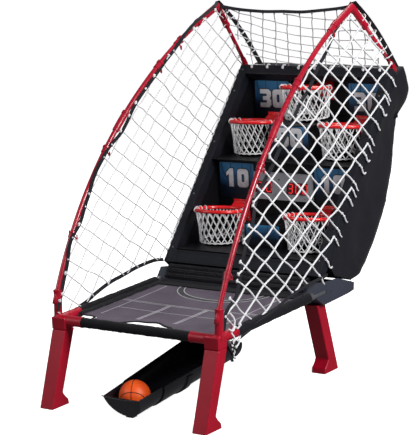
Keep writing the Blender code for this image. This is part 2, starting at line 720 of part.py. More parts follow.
def make_scorer():
    shape = bmesh.new()
    rear = LOWER_BACK_D - GAP
    outline = [SCORER_FOOT, SCORER_HEAD, (rear, SCORER_HEAD[1]), (rear, SCORER_FOOT[1])]
    add_prism(shape, outline, -SCORER_HALF, SCORER_HALF)
    case = finish("scorer_case", shape, material("scorer", (0.24, 0.24, 0.26), 0.5))

    shape = bmesh.new()
    add_prism(shape, [
        (SCORER_FOOT[0] + 0.0030, SCORER_FOOT[1] + SHEET),
        (SCORER_HEAD[0] + 0.0022, SCORER_HEAD[1] - SHEET),
        (rear + 0.01, SCORER_HEAD[1] - SHEET),
        (rear + 0.01, SCORER_FOOT[1] + SHEET),
    ], -SCORER_HALF + SHEET, SCORER_HALF - SHEET)
    boolean(case, cutter("scorer_hollow_guide", shape), "DIFFERENCE")
    for index, (x_low, x_high, low, high) in enumerate(WINDOWS):
        shape = bmesh.new()
        add_scorer_box(shape, x_low - GAP, x_high + GAP, low - GAP, high + GAP, -0.01, 0.006)
        boolean(case, cutter(f"scorer_window_{index}_guide", shape), "DIFFERENCE")
    shape = bmesh.new()
    hole = [scorer_point(*BUTTON_AT, deep) for deep in (-0.01, 0.006)]
    add_sweep(shape, hole, BUTTON_R + GAP, 20)
    boolean(case, cutter("scorer_button_guide", shape), "DIFFERENCE")

    shape = bmesh.new()
    low, high = WINDOWS[0][2] - 0.002, WINDOWS[0][3] + 0.004
    add_scorer_box(shape, WINDOWS[0][0] - 0.003, WINDOWS[1][1] + 0.003, low, high, 0.0034, 0.0046)
    lens = finish("scorer_lens", shape, material("window", (0.10, 0.004, 0.006), 0.15))
    shape = bmesh.new()
    add_scorer_box(shape, BUTTON_AT[0] - 0.012, BUTTON_AT[0] + 0.012, low - 0.01, 0.033, -0.01, 0.02)
    boolean(lens, cutter("lens_notch_guide", shape), "DIFFERENCE")

    shape = bmesh.new()
    middle = scorer_point(*BUTTON_AT, 0.0)
    inward = (scorer_point(0, 0, 1) - scorer_point(0, 0, 0)).normalized()
    add_sweep(shape, [-inward * 0.0030, inward * 0.0045], BUTTON_R, 20)
    button = finish("score_button", shape, material("button", (0.30, 0.31, 0.33), 0.4), smooth=True)
    button.location = middle

    shape = bmesh.new()
    add_box(shape, place(-0.090, 0.7705, 0.4720), place(0.090, 0.7720, 0.5390))
    finish("circuit_board", shape, material("circuit_board", (0.02, 0.14, 0.06), 0.5))


# --------------------------------------------------------------------- hoops
def make_rim(name, x, depth, height, back):
    """Tilted hoop on a wedge arm, with a back plate and the two ears that hold the paddle's pin."""
    arm_half, plate_half, plate_thick = 0.022, 0.030, 0.0032
    ear_near, ear_far, ear_reach, pin_hole_r = 0.0090, 0.0115, 0.0040, 0.0018
    pivot_d = back - PADDLE_STAND
    pivot_z = height - PADDLE_DROP
    inset = back - 0.0020
    shape = bmesh.new()
    add_ring(shape, place(x, depth, height), RIM_R, RIM_BAR_R)
    rim = finish(f"rim_{name}", shape, material("rim", (0.75, 0.035, 0.045), 0.3), smooth=True)

    ring_back = depth + RIM_R * math.cos(RIM_TILT)
    low = height - RIM_R * math.sin(RIM_TILT) - 0.0042
    shape = bmesh.new()
    add_prism(shape, [(ring_back - 0.0020, low), (inset, low), (inset, height + 0.0060),
                      (ring_back + 0.0025, low + 0.0090)], x - arm_half, x + arm_half)
    boolean(rim, cutter(f"arm_{name}_guide", shape), "UNION")
    shape = bmesh.new()
    add_box(shape, place(x - plate_half, back - plate_thick - GAP, pivot_z - 0.010),
            place(x + plate_half, back - GAP, height + 0.012))
    boolean(rim, cutter(f"plate_{name}_guide", shape), "UNION")
    for side, sign in SIDES.items():
        shape = bmesh.new()
        x_low, x_high = sorted((x + sign * ear_near, x + sign * ear_far))
        add_box(shape, place(x_low, pivot_d - ear_reach, pivot_z - ear_reach),
                place(x_high, inset, pivot_z + ear_reach))
        boolean(rim, cutter(f"ear_{name}_{side}_guide", shape), "UNION")
    shape = bmesh.new()
    pin_line = [place(x + sign * 2 * ear_far, pivot_d, pivot_z) for sign in SIDES.values()]
    add_sweep(shape, pin_line, pin_hole_r, 12)
    boolean(rim, cutter(f"pivot_{name}_guide", shape), "DIFFERENCE")


def make_paddle(name, x, depth, height, back):
    """Flat lever under the hoop; its origin is on its pin's axis."""
    half_width, half_thick, pin_half, pin_r = 0.0070, 0.0012, 0.0110, 0.0015
    reach = back - PADDLE_STAND - depth - PADDLE_SHORT
    shape = bmesh.new()
    add_box(shape, Vector((-half_width, -reach, -half_thick)), Vector((half_width, half_thick, half_thick)))
    paddle = finish(f"paddle_{name}", shape, material("paddle", (0.02, 0.02, 0.022), 0.4))
    paddle.location = place(x, back - PADDLE_STAND, height - PADDLE_DROP)
    shape = bmesh.new()
    add_sweep(shape, [Vector((-pin_half, 0, 0)), Vector((pin_half, 0, 0))], pin_r, 12)
    pin = cutter(f"pin_{name}_guide", shape)
    pin.location = paddle.location
    boolean(paddle, pin, "UNION")


def make_hoop_net(name, x, depth, height):
    """A tapering cloth sleeve under the rim, open at the back where the paddle comes through."""
    around, open_angle = 20, math.radians(50)
    corners = ((RIM_R, 0.0), (NET_FOOT_R, NET_DROP),
               (NET_FOOT_R - NET_CLOTH, NET_DROP), (RIM_R - NET_CLOTH, 0.0))
    shape = bmesh.new()
    rings = []
    for radius, drop in corners:
        ring = []
        for step in range(around + 1):
            angle = math.pi / 2 + open_angle / 2 + (2 * math.pi - open_angle) * step / around
            spot = Vector((radius * math.cos(angle), radius * math.sin(angle), 0))
            if not drop:
                spot.z = -spot.y * math.sin(RIM_TILT)
            ring.append(shape.verts.new(place(x, depth, height - RIM_BAR_R - GAP - drop) + spot))
        rings.append(ring)
    for ring, following in zip(rings, rings[1:] + rings[:1]):
        for step in range(around):
            shape.faces.new((ring[step], ring[step + 1], following[step + 1], following[step]))
    for end in (0, -1):
        shape.faces.new([ring[end] for ring in rings])
    finish(f"hoop_net_{name}", shape, material("hoop_net", (0.85, 0.85, 0.85), 0.8))


def make_hoops():
    for name, (x, depth, height, back) in HOOPS.items():
        make_rim(name, x, depth, height, back)
        make_paddle(name, x, depth, height, back)
        make_hoop_net(name, x, depth, height)


# ---------------------------------------------------------------- pole frame
def make_poles():
    look = material("pole", *RED)
    for side, sign in SIDES.items():
        shape = bmesh.new()
        add_sweep(shape, pole_path(sign, 0.287, FERRULE_Z - GAP, 12), POLE_R, 10, POLE_R - 0.001)
        lower = finish(f"pole_lower_{side}", shape, look, smooth=True)
        shape = bmesh.new()
        heights = [FERRULE_Z - 0.024, FERRULE_Z - 0.002, FERRULE_Z - 0.0015, FERRULE_Z + 0.024]
        grip, clear = POLE_R - 0.0005, POLE_R + GAP
        ferrule = [pole_point(sign, height) for height in heights]
        add_sweep(shape, ferrule, 0.0107, 14, [grip, grip, clear, clear])
        boolean(lower, cutter(f"ferrule_{side}_guide", shape), "UNION")
        shape = bmesh.new()
        add_sweep(shape, pole_path(sign, FERRULE_Z + GAP, POLE_TIP_Z, 10), POLE_R, 10, POLE_R - 0.001)
        finish(f"pole_upper_{side}", shape, look, smooth=True)


def strut_point(sign, share):
    foot = on_slope(sign * 0.2745, BOARD_LENGTH + 0.010, 0.014)
    apex = place(sign * APEX[0], APEX[1], APEX[2])
    return apex + (foot - apex) * share


def make_elbows():
    """Elbow at the top of each pole, and the strut that runs down to the board."""
    for side, sign in SIDES.items():
        shape = bmesh.new()
        middle = Matrix.Translation(place(sign * APEX[0], APEX[1], APEX[2]))
        bmesh.ops.create_uvsphere(shape, u_segments=14, v_segments=8, radius=0.0112, matrix=middle)
        elbow = finish(f"elbow_{side}", shape, material("fitting", *RED), smooth=True)
        pole_axis = [pole_point(sign, 1.0120), pole_point(sign, APEX[2] - 0.0005)]
        strut_axis = [strut_point(sign, 0.0), strut_point(sign, STRUT_SOCKET_SHARE)]
        for label, axis in (("elbow_pole", pole_axis), ("elbow_strut", strut_axis)):
            shape = bmesh.new()
            add_sweep(shape, axis, 0.0104, 14)
            boolean(elbow, cutter(f"{label}_{side}_guide", shape), "UNION")
        pole_bore = [pole_point(sign, 1.0000), pole_point(sign, POLE_TIP_Z + 0.001)]
        strut_bore = [strut_point(sign, 0.18), strut_point(sign, STRUT_SOCKET_SHARE + 0.05)]
        for label, axis, radius in (("elbow_pole_bore", pole_bore, POLE_R + 2 * GAP),
                                    ("elbow_strut_bore", strut_bore, STRUT_R + GAP)):
            shape = bmesh.new()
            add_sweep(shape, axis, radius, 14)
            boolean(elbow, cutter(f"{label}_{side}_guide", shape), "DIFFERENCE")

        shape = bmesh.new()
        axis = [strut_point(sign, 0.19), strut_point(sign, 0.99)]
        add_sweep(shape, axis, STRUT_R, 12, STRUT_R - TUBE_WALL)
        strut = finish(f"strut_{side}", shape, material("pole", *RED), smooth=True)
        shape = bmesh.new()
        x_low, x_high = sorted((sign * 0.2650, sign * 0.2795))
        add_slope_box(shape, x_low, x_high, BOARD_LENGTH + GAP, BOARD_LENGTH + 0.0110, 0.004, 0.024)
        boolean(strut, cutter(f"strut_foot_{side}_guide", shape), "UNION")


# -------------------------------------------------------------- nets and bag
def add_sheet(shape, grid, thickness):
    """A closed sheet over a grid of points, thickened along its mean normal."""
    rows, columns = len(grid), len(grid[0])
    diagonal = grid[-1][-1] - grid[0][0]
    other = grid[0][-1] - grid[-1][0]
    normal = diagonal.cross(other).normalized()
    faces = []
    for shift in (-thickness / 2, thickness / 2):
        faces.append([[shape.verts.new(point + normal * shift) for point in row] for row in grid])
    for layer in faces:
        for row in range(rows - 1):
            for column in range(columns - 1):
                shape.faces.new((layer[row][column], layer[row + 1][column],
                                 layer[row + 1][column + 1], layer[row][column + 1]))
    low, high = faces
    rim = [(0, column) for column in range(columns)]
    rim += [(row, columns - 1) for row in range(1, rows)]
    rim += [(rows - 1, column) for column in range(columns - 2, -1, -1)]
    rim += [(row, 0) for row in range(rows - 2, 0, -1)]
    for (row_a, column_a), (row_b, column_b) in zip(rim, rim[1:] + rim[:1]):
        shape.faces.new((low[row_a][column_a], low[row_b][column_b],
                         high[row_b][column_b], high[row_a][column_a]))


def make_nets():
    """Side nets from each pole to the outside of the board's rails, and one over the top."""
    look = material("safety_net", (0.8, 0.8, 0.8), 0.85)
    rows, columns = 10, 3
    pole_low, pole_high, off_pole = 0.300, 1.010, 0.026
    rail_x, rail_behind, rail_end = HALF_WIDTH + 0.0035, 0.012, 0.010
    for side, sign in SIDES.items():
        grid = []
        for row in range(rows + 1):
            share = row / rows
            near = pole_point(sign, pole_low + (pole_high - pole_low) * share, off_pole)
            near.x -= sign * 0.004
            far = on_slope(sign * rail_x, rail_end + (BOARD_LENGTH - 2 * rail_end) * share, rail_behind)
            grid.append([near.lerp(far, column / columns) for column in range(columns + 1)])
        shape = bmesh.new()
        add_sheet(shape, grid, NET_SHEET)
        finish(f"side_net_{side}", shape, look)

    rows, columns = 4, 6
    front_half, rear_half, sag = 0.218, 0.236, 0.022
    grid = []
    for row in range(rows + 1):
        line = []
        for column in range(columns + 1):
            across = column / columns * 2 - 1
            drop = 0.010 + sag * (1 - across ** 2)
            near = place(across * front_half, APEX[1] + 0.004, APEX[2] - drop)
            far = on_slope(across * rear_half, BOARD_LENGTH + 0.012, 0.010)
            line.append(near.lerp(far, row / rows))
        grid.append(line)
    shape = bmesh.new()
    add_sheet(shape, grid, NET_SHEET)
    finish("top_net", shape, look)


def make_bag():
    """Cloth bag behind the board, closed on top and open over the base."""
    edge_x, edge_behind = HALF_WIDTH - 0.001, RAIL_DEPTH + 0.0015
    strips = []
    for along, depth, height in BAG_STATIONS:
        left = on_slope(-edge_x, along, edge_behind)
        right = on_slope(edge_x, along, edge_behind)
        back_left = place(-BAG_BACK_HALF, depth, height)
        back_right = place(BAG_BACK_HALF, depth, height)
        strips.append([left, left.lerp(back_left, 0.5), back_left, back_right,
                       back_right.lerp(right, 0.5), right])
    hem = ((edge_x, 0.600, 0.2845), (0.277, 0.650, 0.2700), (BAG_BACK_HALF, 0.700, 0.2500))
    strips.append([place(-x, depth, height) for x, depth, height in hem]
                  + [place(x, depth, height) for x, depth, height in reversed(hem)])
    shape = bmesh.new()
    grid = [[shape.verts.new(point) for point in strip] for strip in strips]
    for row, following in zip(grid, grid[1:]):
        for column in range(len(row) - 1):
            shape.faces.new((row[column], row[column + 1], following[column + 1], following[column]))
    top = grid[0]
    shape.faces.new((top[0], top[5], top[4], top[1]))
    shape.faces.new((top[1], top[4], top[3], top[2]))
    bag = finish("ball_bag", shape, material("bag_fabric", *FABRIC))
    skin = bag.modifiers.new("skin", "SOLIDIFY")
    skin.thickness = 0.0016
    skin.offset = 0.0


def main():
    for thing in list(bpy.data.objects):
        bpy.data.objects.remove(thing, do_unlink=True)
    make_legs()
    for side, sign in SIDES.items():
        make_corner(side, sign)
    make_bars()
    make_court()
    make_base()
    make_return_channel()
    make_hinge_strip()
    make_trough()
    make_ball()
    make_rails()
    make_side_walls()
    make_shelves()
    make_backs()
    make_centre_blocks()
    make_scorer()
    make_hoops()
    make_poles()
    make_elbows()
    make_nets()
    make_bag()


main()
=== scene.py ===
"""Looks of the five-hoop tabletop basketball machine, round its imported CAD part.

Frame: +X to the player's right, +Y away from the player, +Z up, in metres. As in
the CAD, depths are measured from the two front corner fittings, and heights from
the floor.
"""

import math
from functools import partial

import bmesh
import bpy
from mathutils import Matrix, Vector, noise


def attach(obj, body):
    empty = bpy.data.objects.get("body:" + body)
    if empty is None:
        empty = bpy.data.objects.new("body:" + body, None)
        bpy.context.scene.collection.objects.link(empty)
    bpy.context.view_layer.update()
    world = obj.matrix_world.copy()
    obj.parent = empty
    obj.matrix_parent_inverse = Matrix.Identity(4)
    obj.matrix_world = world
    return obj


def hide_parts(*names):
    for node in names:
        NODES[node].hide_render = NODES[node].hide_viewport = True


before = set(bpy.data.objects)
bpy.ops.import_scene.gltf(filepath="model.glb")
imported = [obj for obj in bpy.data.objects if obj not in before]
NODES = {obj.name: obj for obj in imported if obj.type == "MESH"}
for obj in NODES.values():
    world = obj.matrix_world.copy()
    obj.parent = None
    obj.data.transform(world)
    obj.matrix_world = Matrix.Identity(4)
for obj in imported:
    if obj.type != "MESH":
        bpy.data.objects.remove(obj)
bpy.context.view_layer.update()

# ------------------------------------------------- dimensions, as in the CAD
FRONT_Y = -0.4957
HALF_WIDTH = 0.280
SIDE_BAR_X = HALF_WIDTH * 0.985
CORNER_Z = 0.240
REAR_BAR_Z = 0.251
BASE_FRONT_D = 0.500
STUB_R = 0.015
STUB_OUTER_X = 0.288
STUB_INNER_X = 0.190
STUB_REAR_D = 0.085
LEG_WIDTH = 0.048
FRONT_LEG_X = 0.268
REAR_LEG_X = 0.248
BASE_HALF = 0.2856
COURT_REAR_D = 0.470

BOARD_LEAN = math.radians(40.8)
BOARD_FOOT = (0.508, 0.3035)
BOARD_LENGTH = 0.7206
RAIL_WIDTH = 0.028
RAIL_DEPTH = 0.034
BAY_HALF = HALF_WIDTH - RAIL_WIDTH
LOWER_BACK_D = 0.7756
UPPER_BACK_D = 0.9940
TOP_BACK_D = 1.0395
CENTRE_D = 0.8176
BATTERY_D = 0.6440

BALL_R = 0.0444
RIM_R = 0.0772
RIM_BAR_R = 0.0058
RIM_TILT = math.radians(6.5)
NET_DROP = 0.093
NET_FOOT_R = 0.068
PADDLE_DROP = 0.045
PADDLE_STAND = 0.012
SLOT_HALF = 0.0115
SLOT_HEAD = 0.036           # the slot's ends, below the rim
SLOT_FOOT = 0.080
BRACKET_HALF = 0.030
BRACKET_THICK = 0.0035

POLE_R = 0.0075
SOCKET_X = 0.2815
SOCKET_R = 0.0120
POLE_ARC_R = 1.4326
POLE_ARC_CENTRE = (1.3002, -0.2946)
POLE_FOOT_X = 0.2831
POLE_FOOT_Z = 0.325
POLE_BOW = 0.014
POLE_TIP_Z = 1.027
APEX = (0.244, 0.813, 1.053)
FERRULE_Z = 0.762
ELBOW_FOOT_Z = 1.0120
ELBOW_POLE_R = 0.0106
ELBOW_STRUT_R = 0.0102
ELBOW_SHARE = 0.33          # how far down the strut the elbow reaches
STRUT_R = 0.0062
STRUT_FOOT_X = 0.2745

TROUGH_SLOPE = math.radians(6.9)
TROUGH_FLARE = 0.0627
TROUGH_FRONT_D = -0.066
TROUGH_AXIS_Z = 0.0668
TROUGH_R = 0.0668
TROUGH_REAR_D = 0.372
TROUGH_NEST = 0.0010
TROUGH_WALL = 0.0025
GAP = 0.0003
FLOOR_GAP = 0.0002

SCORER_FOOT = (0.7500, 0.4650)
SCORER_HEAD = (0.7645, 0.5465)
SCORER_LEAN = math.atan2(SCORER_HEAD[0] - SCORER_FOOT[0], SCORER_HEAD[1] - SCORER_FOOT[1])
WINDOWS = ((-0.096, -0.032, 0.018, 0.057), (0.018, 0.096, 0.018, 0.057))

# up the board's slope, and the half width, depth and height of the bag's back there
BAG_STATIONS = (
    (0.7206, 0.2770, 1.0560, 0.8450),
    (0.6400, 0.2750, 1.0860, 0.7660),
    (0.5800, 0.2450, 1.0600, 0.6900),
    (0.5200, 0.2540, 1.0220, 0.6500),
    (0.4400, 0.2520, 1.0060, 0.5780),
    (0.3200, 0.2590, 0.9550, 0.4600),
    (0.1800, 0.2680, 0.8550, 0.3500),
    (0.0700, 0.2750, 0.7700, 0.2700),
)
BAG_HEM = (0.275, 0.7000, 0.2500)

# name: (x, depth, height of the rim, depth of the panel behind it)
HOOPS = {
    "low_left": (-0.1624, 0.6586, 0.4418, LOWER_BACK_D),
    "low_right": (0.1624, 0.6586, 0.4418, LOWER_BACK_D),
    "mid_left": (-0.1644, 0.8708, 0.6846, UPPER_BACK_D),
    "mid_right": (0.1644, 0.8708, 0.6846, UPPER_BACK_D),
    "top": (0.0, 0.9209, 0.7907, TOP_BACK_D),
}
SIDES = {"left": -1, "right": 1}

# --------------------------------------------------- dimensions of the looks
CORD_R = 0.0027             # safety net on the player's right
FINE_CORD_R = 0.0020        # the other two nets
HOOP_CORD_R = 0.0018
HOOP_STRANDS = 22
STRAP_WIDTH = 0.010
STRAP_THICK = 0.0014


# ------------------------------------------------------------------- placing
def place(x, depth, height):
    return Vector((x, FRONT_Y + depth, height))


def places(*spots):
    return [place(*spot) for spot in spots]


def on_slope(x, along, behind):
    """A point on the board: up its slope from its foot, and behind its face."""
    depth = BOARD_FOOT[0] + along * math.sin(BOARD_LEAN) + behind * math.cos(BOARD_LEAN)
    height = BOARD_FOOT[1] + along * math.cos(BOARD_LEAN) - behind * math.sin(BOARD_LEAN)
    return place(x, depth, height)


def side_bar_point(sign, depth):
    rise = (REAR_BAR_Z - CORNER_Z) / BASE_FRONT_D
    return place(sign * SIDE_BAR_X, depth, CORNER_Z + rise * depth)


def pole_point(sign, height, inward=0.0):
    """A point of the pole's arc; inward moves it towards the arc's centre."""
    radius = POLE_ARC_R - inward
    rise = (height - POLE_ARC_CENTRE[1]) * radius / POLE_ARC_R
    depth = POLE_ARC_CENTRE[0] - math.sqrt(radius ** 2 - rise ** 2)
    share = (height - POLE_FOOT_Z) / (APEX[2] - POLE_FOOT_Z)
    x = POLE_FOOT_X + (APEX[0] - POLE_FOOT_X) * share + POLE_BOW * math.sin(math.pi * share)
    return place(sign * x, depth, POLE_ARC_CENTRE[1] + rise)


def strut_point(sign, share):
    foot = on_slope(sign * STRUT_FOOT_X, BOARD_LENGTH + 0.010, 0.014)
    apex = place(sign * APEX[0], APEX[1], APEX[2])
    return apex + (foot - apex) * share


def trough_point(x, along, up):
    """A point in the trough's own frame: along and square to its slope."""
    depth = TROUGH_FRONT_D + along * math.cos(TROUGH_SLOPE) - up * math.sin(TROUGH_SLOPE)
    height = TROUGH_AXIS_Z + along * math.sin(TROUGH_SLOPE) + up * math.cos(TROUGH_SLOPE)
    return place(x, depth, height)


def scorer_point(x, up, deep):
    """A point on the scorer: up its leaning face, and deep behind it."""
    depth = SCORER_FOOT[0] + up * math.sin(SCORER_LEAN) + deep * math.cos(SCORER_LEAN)
    height = SCORER_FOOT[1] + up * math.cos(SCORER_LEAN) - deep * math.sin(SCORER_LEAN)
    return place(x, depth, height)


def tilted(centre, offset):
    """A point of a rim, whose front is tilted up about its middle."""
    return centre + Matrix.Rotation(-RIM_TILT, 3, "X") @ offset


def spread(low, high, count):
    """Even steps from low to high, both included."""
    return [low + (high - low) * step / count for step in range(count + 1)]


def turns(count):
    """Even angles round a full circle."""
    return [2 * math.pi * step / count for step in range(count)]


def half_turns(count, start=0.0):
    """Even angles over half a circle, both ends included."""
    return [start + math.pi * step / count for step in range(count + 1)]


def polar(radius, turn, up=0.0):
    return Vector((radius * math.cos(turn), radius * math.sin(turn), up))


def between(table, value):
    """A value read from rising (key, value) pairs, smoothly between them."""
    if value <= table[0][0]:
        return table[0][1]
    for (low, at_low), (high, at_high) in zip(table, table[1:]):
        if value <= high:
            share = (value - low) / (high - low)
            share = share * share * (3 - 2 * share)
            return at_low + (at_high - at_low) * share
    return table[-1][1]


def through(points, steps, closed=False):
    """A smooth curve through the points, with steps pieces between each two."""
    count = len(points)
    spans = count if closed else count - 1
    curve = []
    for index in range(spans):
        if closed:
            before, start, end, after = (points[(index + shift) % count] for shift in (-1, 0, 1, 2))
        else:
            start, end = points[index], points[index + 1]
            before = points[index - 1] if index else start
            after = points[index + 2] if index + 2 < count else end
        for step in range(steps):
            t = step / steps
            curve.append(0.5 * ((2 * start) + (end - before) * t
                                + (2 * before - 5 * start + 4 * end - after) * t * t
                                + (3 * start - before - 3 * end + after) * t * t * t))
    if not closed:
        curve.append(points[-1].copy())
    return curve


def ripple(point, size, seed=0.0):
    """A smooth value from -1 to 1 that changes over about size metres."""
    return noise.noise(Vector((point.x / size + seed, point.y / size - seed, point.z / size + 2 * seed)))


# ----------------------------------------------------------------- materials
def scaled(colour, factor):
    return tuple(min(1.0, channel * factor) for channel in colour)


class Look:
    """A material, with short ways to make its nodes; a socket takes a value or another node's output."""

    def __init__(self, name):
        self.made = bpy.data.materials.new(name)
        self.made.use_nodes = True
        self.tree = self.made.node_tree
        self.coords = self.node("TexCoord", {}).outputs

    def feed(self, node, inputs):
        for socket, value in inputs.items():
            if hasattr(value, "is_linked"):
                self.tree.links.new(value, node.inputs[socket])
            else:
                node.inputs[socket].default_value = value
        return node

    def node(self, kind, inputs, **settings):
        node = self.tree.nodes.new("ShaderNode" + kind)
        for name, value in settings.items():
            setattr(node, name, value)
        return self.feed(node, inputs)

    def noise(self, scale, detail=3.0):
        inputs = {"Vector": self.coords["Object"], "Scale": scale, "Detail": detail}
        return self.node("TexNoise", inputs).outputs["Fac"]

    def span(self, source, from_low, from_high, to_low, to_high):
        """A source's values, moved from one range to another."""
        inputs = {"Value": source, "From Min": from_low, "From Max": from_high,
                  "To Min": to_low, "To Max": to_high}
        return self.node("MapRange", inputs).outputs["Result"]

    def cloud(self, scale, detail=3.0, low=0.0, high=1.0):
        """Soft noise between two values."""
        return self.span(self.noise(scale, detail), 0.3, 0.7, low, high)

    def wave(self, direction, scale, distortion, detail_scale=1.0):
        inputs = {"Vector": self.coords["Object"], "Scale": scale, "Distortion": distortion,
                  "Detail Scale": detail_scale}
        return self.node("TexWave", inputs, bands_direction=direction).outputs["Fac"]

    def sum_of(self, first, second, operation="ADD"):
        return self.node("Math", {0: first, 1: second}, operation=operation).outputs[0]

    def mix(self, factor, first, second):
        """A colour between two; each is three numbers or another node's output."""
        first, second = (value if hasattr(value, "is_linked") else (*value, 1.0)
                         for value in (first, second))
        return self.node("Mix", {6: first, 7: second, 0: factor}, data_type="RGBA").outputs[2]

    def patchy(self, colour, amount, scale, detail):
        """A colour that is a little darker here and lighter there."""
        return self.mix(self.cloud(scale, detail), scaled(colour, 1 - amount), scaled(colour, 1 + amount))

    def bump(self, height, strength, distance, **under):
        inputs = {"Height": height, "Strength": strength, "Distance": distance, **under}
        return self.node("Bump", inputs).outputs["Normal"]

    def upward(self):
        """How far up a piece's own box a place lies, from 0 to 1."""
        return self.node("SeparateXYZ", {0: self.coords["Generated"]}).outputs["Z"]

    def shade(self, inputs):
        self.feed(self.tree.nodes["Principled BSDF"], inputs)
        return self.made


def moulded_look(name, colour, roughness, grain=900.0, grain_depth=0.00006, patchy=0.12, coat=0.0,
                 metallic=0.0, specular=0.5, glow=0.0):
    """Plastic, paint or metal: patchy colour and gloss, and a fine grain."""
    look = Look(name)
    return look.shade({
        "Base Color": look.patchy(colour, patchy, 9.0, 4.0),
        "Roughness": look.cloud(60.0, 5.0, max(0.03, roughness - 0.05), min(1.0, roughness + 0.07)),
        "Normal": look.bump(look.noise(grain, 2.0), 0.35, grain_depth),
        "Metallic": metallic,
        "Coat Weight": coat,
        "Coat Roughness": 0.12,
        "Specular IOR Level": specular,
        "Emission Color": (*colour, 1),
        "Emission Strength": glow,
    })


def cloth_look(name, colour, thread=0.0011, sheen=0.25):
    """Woven cloth: crossed threads in the bump, a soft sheen and patchy colour."""
    look = Look(name)
    threads = [look.wave(axis, 1.0 / (thread * 20), 0.6, 3.0) for axis in ("X", "Y", "Z")]
    weave = look.sum_of(look.sum_of(threads[0], threads[1]), threads[2])
    folds = look.bump(look.noise(45.0, 4.0), 0.25, 0.002)
    return look.shade({
        "Base Color": look.patchy(colour, 0.18, 16.0, 5.0),
        "Roughness": look.span(weave, 0.0, 3.0, 0.77, 0.93),
        "Normal": look.bump(weave, 0.5, 0.00025, Normal=folds),
        "Sheen Weight": sheen,
        "Sheen Roughness": 0.45,
        "Specular IOR Level": 0.25,
    })


def cord_look(name, colour):
    """Braided cord: slanting plaits in the bump, and painted shade that greys the hollows between them."""
    look = Look(name)
    plait = look.wave("DIAGONAL", 60.0, 2.0)
    return look.shade({
        # painted shade: the colour darkens where the plait's bump is low, in the braid's hollows
        "Base Color": look.mix(plait, scaled(colour, 0.86), colour),
        "Roughness": look.cloud(200.0, low=0.65, high=0.85),
        "Normal": look.bump(plait, 0.4, 0.0004),
        "Sheen Weight": 0.2,
    })


def court_look():
    """Mesh cloth: rows of small holes in a grey-violet weave, the holes painted near-black as the dark base
    seen through them plus painted shade.
    """
    look = Look("court_mesh")
    hole_pitch = 0.0042
    split = look.node("SeparateXYZ", {0: look.coords["Object"]}).outputs
    waves = []
    for axis in (0, 1):
        angle = look.sum_of(split[axis], 2 * math.pi / hole_pitch, "MULTIPLY")
        waves.append(look.node("Math", {0: angle}, operation="SINE").outputs[0])
    holes = look.span(look.sum_of(*waves, "MULTIPLY"), 0.25, 0.75, 0.0, 1.0)
    weave = look.mix(look.cloud(8.0, 4.0), (0.085, 0.062, 0.096), (0.140, 0.106, 0.155))
    return look.shade({
        # painted shade: the holes take a near-black colour, the dark base seen through them darkened further
        # by shade
        "Base Color": look.mix(holes, weave, (0.022, 0.018, 0.026)),
        "Roughness": look.span(holes, 0.0, 1.0, 0.62, 0.9),
        "Normal": look.bump(look.span(holes, 0.0, 1.0, 1.0, 0.0), 0.5, 0.0005),
        "Sheen Weight": 0.1,
        "Specular IOR Level": 0.2,
    })


def plate_look():
    """Printed number plate: blue at the top, fading into black at the bottom."""
    look = Look("printed_plate")
    ramp = look.node("ValToRGB", {"Fac": look.sum_of(look.upward(), look.cloud(26.0, 5.0, -0.09, 0.09))})
    stops = ramp.color_ramp.elements
    stops[0].color = (0.003, 0.004, 0.008, 1)
    stops[1].color = (0.060, 0.260, 0.520, 1)
    for position, colour in ((0.34, (0.005, 0.012, 0.030, 1)), (0.62, (0.026, 0.100, 0.235, 1))):
        stops.new(position).color = colour
    return look.shade({
        "Base Color": ramp.outputs["Color"],
        "Roughness": look.cloud(70.0, low=0.28, high=0.40),
        "Specular IOR Level": 0.3,
    })


def digit_look():
    """Silver-white print that greys towards the foot of each digit."""
    look = Look("digit_print")
    share = look.span(look.sum_of(look.upward(), look.cloud(90.0, 4.0, -0.15, 0.15)), 0.0, 0.8, 0.0, 1.0)
    return look.shade({
        "Base Color": look.mix(share, (0.36, 0.33, 0.36), (0.80, 0.80, 0.84)),
        "Roughness": look.span(share, 0.0, 1.0, 0.5, 0.36),
    })


def ball_look():
    """Pebbled orange rubber."""
    look = Look("ball_rubber")
    pebble = look.node("TexVoronoi", {"Vector": look.coords["Object"], "Scale": 620.0}).outputs["Distance"]
    return look.shade({
        "Base Color": look.mix(look.cloud(30.0, 4.0), (0.90, 0.075, 0.004), (1.0, 0.130, 0.006)),
        "Roughness": look.span(pebble, 0.0, 0.6, 0.38, 0.52),
        "Normal": look.bump(pebble, 0.4, 0.0004),
    })


def lens_look():
    """Dark red clear window."""
    look = Look("window_lens")
    cloud = look.cloud(25.0)
    return look.shade({
        "Base Color": look.mix(cloud, (0.050, 0.002, 0.003), (0.085, 0.004, 0.006)),
        "Roughness": look.span(cloud, 0.0, 1.0, 0.10, 0.16),
        "Coat Weight": 0.4,
    })


